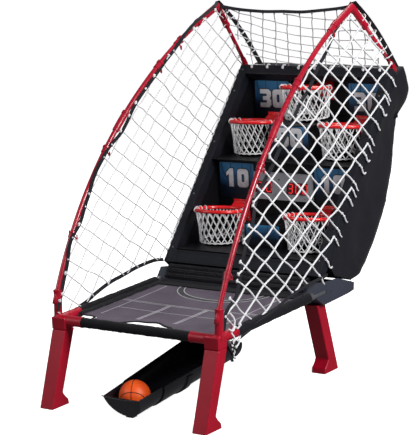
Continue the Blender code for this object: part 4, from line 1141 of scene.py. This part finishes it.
# each digit is one unit wide and 1.4 units high
DIGITS = {
    "0": [round_rect(0, 0, 1, 1.4, 0.26), round_rect(0.36, 0.38, 0.64, 1.02, 0.10)[::-1]],
    "1": [[(0.15, 1.08), (0.5, 1.4), (0.78, 1.4), (0.78, 0), (0.38, 0), (0.38, 0.98), (0.15, 0.82)]],
    "3": [[(0, 1.4), (0.8, 1.4), (1, 1.2), (1, 0.85), (0.86, 0.7), (1, 0.55), (1, 0.2), (0.8, 0),
           (0, 0), (0, 0.34), (0.6, 0.34), (0.62, 0.55), (0.25, 0.55), (0.25, 0.85), (0.62, 0.85),
           (0.6, 1.06), (0, 1.06)]],
    "5": [[(0, 1.4), (1, 1.4), (1, 1.06), (0.38, 1.06), (0.38, 0.9), (0.8, 0.9), (1, 0.7), (1, 0.2),
           (0.8, 0), (0, 0), (0, 0.34), (0.58, 0.34), (0.62, 0.42), (0.62, 0.52), (0.56, 0.58), (0, 0.58)]],
}


def flat_piece(name, loops, look, x, depth, height, extrude, bevel, offset=0.0):
    """A flat shape stood upright facing the player, its middle line at x."""
    mesh = outline_curve(name, loops, extrude, bevel, offset)
    mesh.transform(Matrix.Translation(place(x, depth, height)) @ Matrix.Rotation(math.pi / 2, 4, "X"))
    mesh.use_auto_texspace = True
    mesh.materials.clear()
    mesh.materials.append(LOOK[look])
    piece = linked(name, mesh)
    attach(piece, "machine")
    return piece


def make_plate(name, number, x, back, low, high, half, foot_share=0.33):
    """A blue printed plate with a court's lines and a block number in its lower half."""
    tall = high - low
    flat_piece(f"plate_{name}", [round_rect(-half, 0, half, tall, 0.004)], "plate",
               x, back - 0.0010, low, 0.0006, 0.0003)
    arcs = Shape()
    face = back - 0.0022
    key_half, key_low = half * 0.34, tall * 0.62
    head_z, key_z = high - 0.002, low + key_low
    left, right = x - key_half, x + key_half
    for edge in (left, right):
        arcs.ribbon([place(edge, face, head_z), place(edge, face, key_z)], Vector((1, 0, 0)), 0.0016, 0.0006)
    arcs.ribbon([place(left, face, key_z), place(right, face, key_z)], Vector((0, 0, 1)), 0.0016, 0.0006)
    lower_half = half_turns(28, math.pi)
    bow = [place(x + half * 0.86 * math.cos(turn), face, head_z + tall * 0.56 * math.sin(turn))
           for turn in lower_half]
    arcs.ribbon(bow, [Vector((math.cos(turn), 0, math.sin(turn))) for turn in lower_half], 0.0018, 0.0006)
    arcs.piece(f"plate_lines_{name}", "dark_print", "black_board", smooth=False)
    if not number:
        return
    unit = half * 0.64
    foot = low + tall * foot_share
    start = -unit * 1.08
    for index, digit in enumerate(number):
        left = start + index * unit * 1.16
        loops = [[(left + px * unit, py * unit) for px, py in loop] for loop in DIGITS[digit]]
        flat_piece(f"plate_outline_{name}_{index}", loops, "dark_print", x, face - 0.0003,
                   foot, 0.0003, 0.0, 0.0030)
        flat_piece(f"plate_digit_{name}_{index}", loops, "digit", x, face - 0.0012,
                   foot, 0.0004, 0.0003)


def make_plates():
    mid, half = 0.17595, 0.06425
    low_z, high_z, upper_top = 0.455, 0.568, 0.796
    for side, sign in SIDES.items():
        make_plate(f"ten_{side}", "10", sign * mid, LOWER_BACK_D, low_z, high_z, half)
        make_plate(f"thirty_{side}", "30", sign * mid, UPPER_BACK_D,
                   upper_top - (high_z - low_z), upper_top, half, 0.25)
    make_plate("fifty", "50", 0.0, CENTRE_D, 0.588, 0.6825, 0.0665)
    make_plate("battery", "", 0.0, BATTERY_D, 0.344, 0.4075, 0.060)


# ------------------------------------------------------------ board's details
def make_board_details():
    """The lower panel's raised border, the rails' screws, dark discs of painted shade for the base's holes,
    and the hinge strip's ribs.
    """
    border = Shape()
    outward = (on_slope(0, 0, -1) - on_slope(0, 0, 0)).normalized()
    lift, half, low, high = 0.0012, BAY_HALF - 0.012, 0.006, 0.038
    corners = [on_slope(x, along, -lift * 0.4)
               for x, along in ((-half, low), (half, low), (half, high), (-half, high))]
    for start, end in zip(corners, corners[1:] + corners[:1]):
        across = (start - end).cross(outward).normalized()
        border.ribbon([start.lerp(end, step / 8) for step in range(9)], across, 0.0045, lift)
    border.piece("lower_panel_border", "rail", "black_board", smooth=False)

    screws = Shape()
    for sign in SIDES.values():
        for along in (0.05, 0.24, 0.43, 0.62, 0.70):
            at = on_slope(sign * (HALF_WIDTH - RAIL_WIDTH / 2), along, 0.0)
            screws.tube([at - outward * 0.001, at + outward * 0.0012], 0.0030, 16)
    rounded(screws.piece("rail_screws", "screw", "bare_steel"), 0.0005, 2)

    # painted shade: each hole in the base's side is a dark disc standing in for the shade inside it
    holes = Shape()
    for sign in SIDES.values():
        for depth in (0.5600, 0.5695):
            at = place(sign * BASE_HALF, depth, 0.2470)
            holes.tube([at - Vector((sign * 0.001, 0, 0)), at + Vector((sign * 0.0003, 0, 0))], 0.0017, 16)
    holes.piece("base_side_hole_shade", "seam_and_hole_shade", "grey_plastic", smooth=False)

    ribs = Shape()
    for depth, height in ((0.4740, 0.2690), (0.4845, 0.2820), (0.4950, 0.2945)):
        ends = [place(x, depth - 0.0012, height + 0.0020) for x in (0.004 - BAY_HALF, BAY_HALF - 0.004)]
        ribs.tube(ends, 0.0013, 8)
    ribs.piece("hinge_ribs", "rail", "black_plastic")


def make_scorer_details():
    """Score digits behind the windows, window frames, five small holes drawn as dark discs of painted shade,
    and the button's ring.
    """
    outward = (scorer_point(0, 0, -1) - scorer_point(0, 0, 0)).normalized()
    frames, lamps, dark = Shape(), Shape(), Shape()
    for x_low, x_high, low, high in WINDOWS:
        corners = ((x_low, low), (x_high, low), (x_high, high), (x_low, high))
        for (xa, ua), (xb, ub) in zip(corners, corners[1:] + corners[:1]):
            start, end = scorer_point(xa, ua, -0.0003), scorer_point(xb, ub, -0.0003)
            frames.ribbon([start, end], (end - start).cross(outward).normalized(), 0.0018, 0.0008)
        count = 2 if x_high - x_low < 0.07 else 3
        wide = (x_high - x_low) / count
        for digit in range(count):
            left = x_low + wide * (digit + 0.28)
            right = x_low + wide * (digit + 0.80)
            middle = (low + high) / 2
            bottom, top = low + 0.006, high - 0.006
            bars = [((left, top), (right, top)), ((left, middle), (right, middle)),
                    ((left, bottom), (right, bottom)),
                    ((left, top), (left, middle)), ((right, top), (right, middle)),
                    ((right, middle), (right, bottom)), ((left, middle), (left, bottom))]
            lit = (0, 1, 2, 4, 5) if digit == 0 else (0, 2, 3, 4, 5, 6)
            for index in lit:
                (xa, ua), (xb, ub) = bars[index]
                start, end = scorer_point(xa, ua, 0.0029), scorer_point(xb, ub, 0.0029)
                lamps.ribbon([start.lerp(end, 0.08), start.lerp(end, 0.92)],
                             (end - start).cross(outward).normalized(), 0.0030, 0.0006)
    rounded(frames.piece("scorer_window_frames", "scorer", "scorer_plastic", smooth=False), 0.0003, 1)
    lamps.piece("scorer_segments", "glow", "lens_plastic", smooth=False)
    # painted shade: each small hole is a dark disc on the scorer's face, standing in for the shade inside it
    holes = [(-0.010, 0.0625, 0.0030)] + [(x, up, 0.0016) for up in (0.0685, 0.008) for x in (-0.088, 0.088)]
    for x, up, radius in holes:
        at = scorer_point(x, up, 0.0)
        dark.tube([at - outward * 0.001, at + outward * 0.0003], radius, 18)
    dark.piece("scorer_hole_shade", "seam_and_hole_shade", "scorer_plastic", smooth=False)
    ring = Shape()
    middle = scorer_point(-0.0105, 0.020, -0.0003)
    side, up = Vector((1, 0, 0)), outward.cross(Vector((1, 0, 0)))
    ring.tube([middle + 0.0086 * (side * math.cos(turn) + up * math.sin(turn))
               for turn in turns(40)], 0.0008, 8, closed=True)
    ring.piece("scorer_button_ring", "scorer", "scorer_plastic")


# --------------------------------------------------------------- safety nets
# how far inwards of its pole each strap hangs, by height
STRAP_INWARD = {
    "left": ((0.28, 0.008), (0.38, 0.004), (0.45, -0.009), (0.51, 0.007), (0.56, 0.002), (0.63, -0.008),
             (0.68, -0.004), (0.75, 0.015), (0.82, 0.004), (0.88, 0.005), (0.93, 0.001), (1.00, -0.014),
             (1.04, -0.010)),
    "right": ((0.28, 0.056), (0.32, 0.050), (0.38, 0.082), (0.50, 0.066), (0.54, 0.070), (0.62, 0.047),
              (0.72, 0.067), (0.80, 0.071), (0.87, 0.067), (0.90, 0.071), (0.96, 0.053), (1.02, 0.028),
              (1.045, 0.008)),
}
# the height of each net's foot, by depth
LOWER_STRAP = {
    "left": ((0.098, 0.254), (0.134, 0.261), (0.182, 0.277), (0.247, 0.293), (0.312, 0.301), (0.378, 0.310),
             (0.461, 0.313), (0.512, 0.306)),
    "right": ((0.048, 0.209), (0.088, 0.224), (0.138, 0.2355), (0.180, 0.247), (0.222, 0.253),
              (0.282, 0.268), (0.343, 0.282), (0.396, 0.290), (0.476, 0.297), (0.545, 0.300)),
}
EDGE_BEHIND = 0.004         # where cords tie to the rail, behind its front edge
STRAP_ASIDE = 0.011         # how far a pole's strap hangs inwards of the pole
STRAP_ACROSS = Vector((0.75, 0.58, -0.28))


def strap_point(side, height):
    sign = SIDES[side]
    spot = pole_point(sign, height, between(STRAP_INWARD[side], height))
    spot.x -= sign * STRAP_ASIDE
    return spot


def slope_of(depth, height):
    """How far up the board's slope and behind its face a place lies."""
    forward, up = depth - BOARD_FOOT[0], height - BOARD_FOOT[1]
    along = forward * math.sin(BOARD_LEAN) + up * math.cos(BOARD_LEAN)
    behind = forward * math.cos(BOARD_LEAN) - up * math.sin(BOARD_LEAN)
    return along, behind


def in_side_net(side, depth, height):
    if height < between(LOWER_STRAP[side], depth) or height > APEX[2] - 0.004:
        return False
    near = strap_point(side, height)
    if depth < near.y - FRONT_Y:
        return False
    along, behind = slope_of(depth, height)
    if along < BOARD_LENGTH:
        return behind < EDGE_BEHIND
    head_d = APEX[1] + (APEX[2] - height) * 0.86
    return depth < head_d


def side_net_point(side, depth, height):
    """Where the net lies over a depth and height: it runs from the strap out to the rail."""
    sign = SIDES[side]
    level = min(max(height, 0.27), 1.04)
    near = strap_point(side, level)
    near_d = near.y - FRONT_Y
    far_d = BOARD_FOOT[0] + (height - BOARD_FOOT[1]) * math.tan(BOARD_LEAN)
    far_d += EDGE_BEHIND / math.cos(BOARD_LEAN)
    far_x = HALF_WIDTH + CORD_R + 0.0008
    if height > 0.84:
        share = min(1.0, (height - 0.84) / (APEX[2] - 0.84))
        far_x += (APEX[0] - far_x) * share
    share = max(0.0, min(1.0, (depth - near_d) / max(0.02, far_d - near_d)))
    x = abs(near.x) + (far_x - abs(near.x)) * share ** 0.8
    return place(sign * x, depth, height)


def lattice(inside, spot, origin, first, second, reach, wander):
    """Cells of crossing cords: knots by their place in the lattice, and the cords cut off at the edge."""
    knots, cords = {}, []
    for i in range(-reach, reach + 1):
        for j in range(-reach, reach + 1):
            at = Vector(origin) + Vector(first) * i + Vector(second) * j
            drift = [noise.noise(Vector((i * 0.9, j * 0.9, seed))) for seed in (3.0, 8.0)]
            knots[i, j] = at + Vector(drift) * wander
    for (i, j), start in knots.items():
        for step_i, step_j in ((1, 0), (0, 1)):
            end = knots.get((i + step_i, j + step_j))
            if end is None:
                continue
            kept = [step for step in range(13) if inside(*start.lerp(end, step / 12))]
            if len(kept) < 3 or kept != list(range(kept[0], kept[-1] + 1)):
                continue
            first_share, last_share = kept[0] / 12, kept[-1] / 12
            bend = noise.noise(Vector((i * 1.7 + step_i, j * 1.7, 20.0 + step_j))) * 0.10
            normal = Vector((-(end - start).y, (end - start).x))
            path = [spot(*(start.lerp(end, share) + normal * bend * math.sin(math.pi * share)))
                    for share in spread(first_share, last_share, 6)]
            cords.append((path, first_share > 0, last_share < 1))
    tied = [spot(*at) for at in knots.values() if inside(*at)]
    return tied, cords


def make_side_net(side):
    sign = SIDES[side]
    thick = CORD_R if side == "right" else FINE_CORD_R
    first, second = {"right": ((0.0490, 0.0270), (0.0450, -0.0390)),
                     "left": ((0.0400, 0.0360), (0.0440, -0.0300))}[side]
    knots, cords = lattice(partial(in_side_net, side), partial(side_net_point, side),
                           (0.300, 0.560), first, second, 22, 0.010)
    shape = Shape()
    for path, cut_first, cut_last in cords:
        shape.tube(path, thick, 7)
        for cut, end, before in ((cut_first, path[0], path[1]), (cut_last, path[-1], path[-2])):
            along, behind = slope_of(end.y - FRONT_Y, end.z)
            if not cut:
                continue
            if behind > EDGE_BEHIND - 0.008 and along < BOARD_LENGTH:
                tail_end(shape, end, sign)
            elif end.z >= between(LOWER_STRAP[side], end.y - FRONT_Y) + 0.010:
                tie_loop(shape, end, (end - before).normalized(), sign)
            elif side == "right":
                shape.knot(end, CORD_R * 1.6)
    for knot in knots:
        shape.knot(knot, thick * 1.55)
    shape.piece(f"side_net_cords_{side}", "cord", "safety_net",
                replaces=(f"side_net_{side}",), weld=False)


def tail_end(shape, at, sign):
    """A knot on the rail's edge, with the cord's cut end hanging over the rail's outer face."""
    swing = 0.5 + 0.5 * noise.noise(at * 37)
    outside = at + Vector((sign * (HALF_WIDTH + CORD_R + 0.0030 - abs(at.x)), 0, 0))
    tail = [at] + [outside + Vector((0, back, -down)) for back, down in
                   ((0.007, 0.009), (0.014, 0.018 + 0.010 * swing), (0.018 + 0.006 * swing, 0.030))]
    if swing > 0.60:
        tail.append(outside + Vector((sign * 0.002, 0.027, -0.026)))
    shape.tube(through(tail, 4), CORD_R, 7)
    shape.knot(at, CORD_R * 1.7)
    shape.knot(tail[1], CORD_R * 1.5)


def tie_loop(shape, at, way, sign):
    """A small loop and knot where a net cord is tied off."""
    radius = 0.0042
    side = Vector((sign, 0, 0))
    over = way.cross(side).normalized()
    slant = side * radius * 0.5 + way * 0.001
    loop = [at + over * radius * math.cos(turn) + slant * math.sin(turn) for turn in turns(12)]
    shape.tube(loop, CORD_R * 0.85, 6, closed=True)
    shape.knot(at, CORD_R * 1.6)


def make_side_straps(side):
    """Webbing inside the pole, along the net's foot, and from the elbow to the board."""
    sign = SIDES[side]
    shape, stitches = Shape(), Shape()
    path = [strap_point(side, height) for height in spread(0.272, 1.044, 90)]
    path.append(place(sign * APEX[0], APEX[1] + 0.002, APEX[2] + 0.0125))
    across = []
    for point in path:
        twist = 0.45 * ripple(point, 0.16, 4.0 + sign)
        across.append((STRAP_ACROSS + Vector((twist, -twist, 0))).normalized())
    shape.ribbon(path, across, STRAP_WIDTH, STRAP_THICK)

    spots = [place(sign * (0.2885 if side == "right" else 0.284), depth, height)
             for depth, height in LOWER_STRAP[side]]
    low = through(spots, 8)
    shape.ribbon(low, Vector((sign * 0.3, -0.35, 0.9)).normalized(), STRAP_WIDTH * 1.1, STRAP_THICK)

    back = []
    for share in spread(0.0, 1.0, 24):
        lean_in = 0.055 * share if side == "left" else -0.006
        slack = 0.018 * math.sin(math.pi * share)
        above = 0.0145 + slack - 0.012 * share
        back.append(strut_point(sign, share) + Vector((-sign * lean_in, 0.004, above)))
    shape.ribbon(back, STRAP_ACROSS, STRAP_WIDTH * 1.4, STRAP_THICK * 1.5)
    for step in range(5, 23, 3):
        if side == "right":
            centre, size = strut_point(sign, step / 24) + Vector((sign * 0.002, 0.002, 0.006)), 0.0135
        else:
            centre, size = back[step], 0.0082
        wrap_cord(stitches, centre, back[step + 1] - back[step], size)
    shape.piece(f"net_straps_{side}", "webbing", "safety_net", smooth=False)
    stitches.piece(f"strap_lashings_{side}", "cord", "safety_net", weld=False)


def wrap_cord(shape, centre, heading, radius):
    """One turn of cord round a strap or tube."""
    heading = heading.normalized()
    side = heading.orthogonal().normalized()
    over = heading.cross(side)
    slant = over * 0.8 * radius + heading * 0.002
    loop = [centre + side * radius * math.cos(turn) + slant * math.sin(turn) for turn in turns(18)]
    shape.tube(loop, CORD_R * 0.75, 6, closed=True)


def make_front_strap():
    """The top net's front strap, sagging between the two elbows."""
    shape = Shape()
    path = []
    for across in spread(-1.0, 1.0, 60):
        spot = place(across * 0.236, APEX[1] + 0.002, APEX[2] + 0.0010 - 0.018 * (1 - across ** 2) ** 0.8)
        spot.z += 0.0025 * ripple(spot, 0.09, 2.0)
        path.append(spot)
    shape.ribbon(path, Vector((0, 0.5, 0.87)), STRAP_WIDTH, STRAP_THICK)
    shape.piece("top_net_front_strap", "webbing", "safety_net", smooth=False)


def top_net_point(across, share):
    """The top net: across from -1 to 1, and from the front strap to the top rail."""
    drop = 0.004 + 0.020 * (1 - across ** 2)
    near = place(across * 0.232, APEX[1] + 0.004, APEX[2] - drop)
    far = on_slope(across * 0.244, BOARD_LENGTH + 0.004, 0.010)
    spot = near.lerp(far, share)
    spot.z -= 0.010 * math.sin(math.pi * share) * (1 - across ** 2)
    return spot


def make_top_net():
    wide, deep = 0.476, 0.262

    def spot(u, v):
        return top_net_point(max(-1.0, min(1.0, 2 * u / wide - 1)), max(0.0, min(1.0, v / deep)))

    def inside(u, v):
        return 0 <= u <= wide and 0 <= v <= deep

    cell = 0.043
    first, second = (polar(cell, math.radians(angle)).xy for angle in (12, -66))
    knots, cords = lattice(inside, spot, (wide / 2, deep / 2), first, second, 14, 0.007)
    shape = Shape()
    for path, cut_first, cut_last in cords:
        shape.tube(path, FINE_CORD_R * 0.8, 7)
        for cut, end in ((cut_first, path[0]), (cut_last, path[-1])):
            if cut:
                shape.knot(end, FINE_CORD_R * 1.6)
    for knot in knots:
        shape.knot(knot, FINE_CORD_R * 1.55)
    loop = ((0.0, 0.006, 0.008), (0.003, -0.004, -0.004), (0.006, -0.014, -0.0035), (0.001, -0.010, -0.004),
            (-0.002, 0.004, 0.004))
    for x in spread(-0.236, 0.236, 8):
        over_rail = [on_slope(x + aside, BOARD_LENGTH + past, behind) for aside, past, behind in loop]
        shape.tube(through(over_rail, 5), CORD_R, 7)
    shape.piece("top_net_cords", "cord", "safety_net", replaces=("top_net",), weld=False)


def make_board_lashings():
    """Cord laced along the left rail's front edge, over a strap on its outer face."""
    lacing, webbing = Shape(), Shape()
    count = 84
    path, strap = [], []
    for step in range(count + 1):
        along = 0.06 + (BOARD_LENGTH - 0.08) * step / count
        sway = math.sin(step * 1.9)
        path.append(on_slope(-0.2790 - 0.0012 * sway, along, -0.0022))
        strap.append(on_slope(-HALF_WIDTH - 0.0022, along, 0.0060 + 0.002 * sway))
        if step % 7 == 3:
            wrap_cord(lacing, strap[-1], strap[-1] - strap[-2], 0.0058)
    lacing.tube(through(path, 2), 0.0015, 6)
    webbing.ribbon(strap, on_slope(0, 0, 1) - on_slope(0, 0, 0), STRAP_WIDTH, STRAP_THICK)
    lacing.piece("board_edge_lacing", "cord", "safety_net", weld=False)
    webbing.piece("board_edge_strap", "webbing", "safety_net", smooth=False)


def make_corner_tangle():
    """Slack ends of strap and cord tied off at the right front corner."""
    webbing, cord = Shape(), Shape()
    foot = strap_point("right", 0.275)
    strands = (
        [foot, foot + Vector((0.006, 0.002, -0.030)),
         *places((0.287, 0.034, 0.215), (0.289, 0.046, 0.190), (0.287, 0.050, 0.168))],
        [foot, *places((0.284, 0.024, 0.240), (0.291, 0.036, 0.212), (0.292, 0.044, 0.192),
                       (0.290, 0.042, 0.174))],
        places((0.290, 0.046, 0.236), (0.293, 0.052, 0.214), (0.291, 0.054, 0.196), (0.289, 0.058, 0.182)),
    )
    for index, strand in enumerate(strands):
        path = through(strand, 8)
        twists = [step * 0.16 + index for step in range(len(path))]
        across = [Vector((0.3, math.cos(twist), math.sin(twist))) for twist in twists]
        webbing.ribbon(path, across, STRAP_WIDTH * 0.9, STRAP_THICK * 1.2)
    webbing.piece("corner_strap_ends", "webbing", "safety_net", smooth=False)
    curls = (
        places((0.279, 0.062, 0.300), (0.287, 0.070, 0.282), (0.290, 0.062, 0.262), (0.289, 0.050, 0.250),
               (0.292, 0.058, 0.232), (0.291, 0.048, 0.214)),
        places((0.287, 0.040, 0.262), (0.292, 0.052, 0.254), (0.291, 0.066, 0.262), (0.289, 0.080, 0.254),
               (0.291, 0.090, 0.262)),
        places((0.290, 0.050, 0.222), (0.293, 0.060, 0.228), (0.292, 0.074, 0.222), (0.291, 0.086, 0.230),
               (0.291, 0.078, 0.212), (0.292, 0.064, 0.206)),
        places((0.289, 0.048, 0.205), (0.293, 0.054, 0.196), (0.291, 0.050, 0.186), (0.292, 0.056, 0.178)),
    )
    for curl in curls:
        cord.tube(through(curl, 7), CORD_R, 7)
        cord.knot(curl[-1], CORD_R * 1.7)
    cord.piece("corner_cord_curls", "cord", "safety_net", weld=False)


# ----------------------------------------------------------------------- bag
SIDE_STEPS = 14             # points along each side of the bag's section, and along its back
BACK_STEPS = 30


def bag_rings():
    """Rounded cross-sections of the bag, from its top to its open foot, as rows of points."""
    edge_x, edge_behind = HALF_WIDTH - 0.001, RAIL_DEPTH + 0.0015
    stations = [(on_slope(edge_x, along, edge_behind), place(half, depth, height))
                for along, half, depth, height in BAG_STATIONS]
    stations.append((place(edge_x, 0.600, 0.2845), place(*BAG_HEM)))
    edges = through([edge for edge, _ in stations], 8)
    backs = through([back for _, back in stations], 8)
    rings = []
    for edge, back in zip(edges, backs):
        right = []
        for share in spread(0.0, 1.0, SIDE_STEPS):
            spot = edge.lerp(back, share)
            spot.x -= 0.004 * max(0.0, share - 0.9) / 0.1
            right.append(spot)
        rear_x = right[-1].x
        middle = []
        for share in spread(0.0, 1.0, BACK_STEPS)[1:-1]:
            depth = back.y - 0.006 * math.sin(math.pi * share) + 0.004
            middle.append(Vector((rear_x - 2 * rear_x * share, depth, back.z)))
        left = [Vector((-spot.x, spot.y, spot.z)) for spot in reversed(right)]
        rings.append(right + middle + left)
    return rings


def crumple(spot, amount):
    """Moves a point of cloth by soft folds: long ones down the cloth, and small ones across."""
    slanted = Vector((spot.x * 0.8, spot.y + spot.z * 0.35, spot.z * 0.45))
    long_fold = ripple(slanted, 0.060, 6.0)
    small = ripple(spot, 0.028, 12.0)
    push = amount * (0.0055 * long_fold + 0.0022 * small)
    middle = place(0.0, 0.62, spot.z)
    way = Vector((spot.x - middle.x, spot.y - middle.y, 0)).normalized()
    return spot + way * min(push, 0.0030)


def make_bag():
    rows = []
    for index, ring in enumerate(bag_rings()):
        last = len(ring) - 1
        rows.append([crumple(spot, min(1.0, min(column, last - column) / 6) * min(1.0, 0.35 + index / 8))
                     for column, spot in enumerate(ring)])
    shape = Shape()
    shape.grid(rows)

    first = rows[0]
    columns = len(first)
    cap = []
    for step in range(SIDE_STEPS + 1):
        right, left = first[step], first[columns - 1 - step]
        line = []
        for across in range(BACK_STEPS + 1):
            spot = right.lerp(left, across / BACK_STEPS)
            if 0 < across < BACK_STEPS:
                bulge = math.sin(math.pi * across / BACK_STEPS) * math.sin(math.pi * step / SIDE_STEPS)
                spot.z += 0.004 * bulge
                spot.z += 0.0016 * ripple(spot, 0.030, 2.0)
            if step == SIDE_STEPS:
                spot = first[SIDE_STEPS + across].copy()
            line.append(spot)
        cap.append(line)
    shape.grid(cap)
    bag = shape.piece("bag_cloth", "bag", "bag_cloth", replaces=("ball_bag",))
    skin = bag.modifiers.new("skin", "SOLIDIFY")
    skin.thickness = 0.0011

    trim = Shape()
    trim.tube([spot + Vector((0, 0, 0.002)) for spot in rows[-1]], 0.0032, 8, flat=0.8)
    for edge in (0, -1):
        trim.tube([row[edge] for row in rows], 0.0026, 8)
    for corner in (SIDE_STEPS, columns - 1 - SIDE_STEPS):
        trim.tube([row[corner] for row in rows[1:]], 0.0014, 6)
    seams = trim.piece("bag_seams", "sleeve", "bag_cloth")


# --------------------------------------------------------- stage, light, view
def make_stage():
    mesh = bpy.data.meshes.new("floor")
    size = 60.0
    corners = [(-size, -size, 0), (size, -size, 0), (size, size, 0), (-size, size, 0)]
    mesh.from_pydata(corners, [], [(0, 1, 2, 3)])
    look = Look("pale_floor")
    mesh.materials.append(look.shade({
        "Base Color": look.mix(look.cloud(0.8), (0.93, 0.93, 0.93), (0.96, 0.96, 0.96)),
        "Roughness": 0.9,
        "Emission Color": (1, 1, 1, 1),
        "Emission Strength": 0.86,
    }))
    floor = linked("floor", mesh)
    floor.visible_diffuse = False
    floor.visible_glossy = False


def add_light(name, location, target, size, power):
    data = bpy.data.lights.new(name, "AREA")
    data.size = size
    data.energy = power
    lamp = linked(name, data)
    lamp.location = location
    lamp.rotation_euler = (Vector(target) - Vector(location)).to_track_quat("-Z", "Y").to_euler()


def make_lights():
    world = bpy.data.worlds.new("studio")
    world.use_nodes = True
    background = world.node_tree.nodes["Background"]
    background.inputs["Color"].default_value = (0.95, 0.97, 1.0, 1)
    background.inputs["Strength"].default_value = 0.16
    bpy.context.scene.world = world
    middle = (0, 0.1, 0.4)
    add_light("key", (3.4, -0.6, 2.6), middle, 1.4, 170)
    add_light("front_fill", (-2.2, -3.0, 2.4), middle, 1.8, 36)
    add_light("top_back", (-0.8, 2.4, 3.0), middle, 1.6, 60)


def make_camera():
    data = bpy.data.cameras.new("view")
    data.lens = 157.6
    data.sensor_width = 36.0
    data.clip_end = 200
    camera = linked("view", data)
    spot = (3.2024, -4.5081, 1.5686)
    yaw, pitch, roll = 0.631, 0.197, 0.057
    forward = Vector((-math.sin(yaw) * math.cos(pitch), math.cos(yaw) * math.cos(pitch), -math.sin(pitch)))
    right = Vector((math.cos(yaw), math.sin(yaw), 0))
    down = forward.cross(right)
    turned_right = math.cos(roll) * right + math.sin(roll) * down
    turned_down = -math.sin(roll) * right + math.cos(roll) * down
    turn = Matrix((turned_right, -turned_down, -forward)).transposed().to_4x4()
    camera.matrix_world = Matrix.Translation(spot) @ turn
    bpy.context.scene.camera = camera


def main():
    dress_nodes()
    make_legs()
    make_corners()
    make_poles()
    make_elbows()
    make_court()
    make_trough()
    make_ball()
    for name, (x, depth, height, back) in HOOPS.items():
        make_hoop(name, x, depth, height, back)
    make_plates()
    make_board_details()
    make_scorer_details()
    for side in SIDES:
        make_side_net(side)
        make_side_straps(side)
    make_front_strap()
    make_top_net()
    make_board_lashings()
    make_corner_tangle()
    make_bag()
    make_stage()
    make_lights()
    make_camera()
    bpy.context.scene.view_settings.view_transform = "Standard"


main()
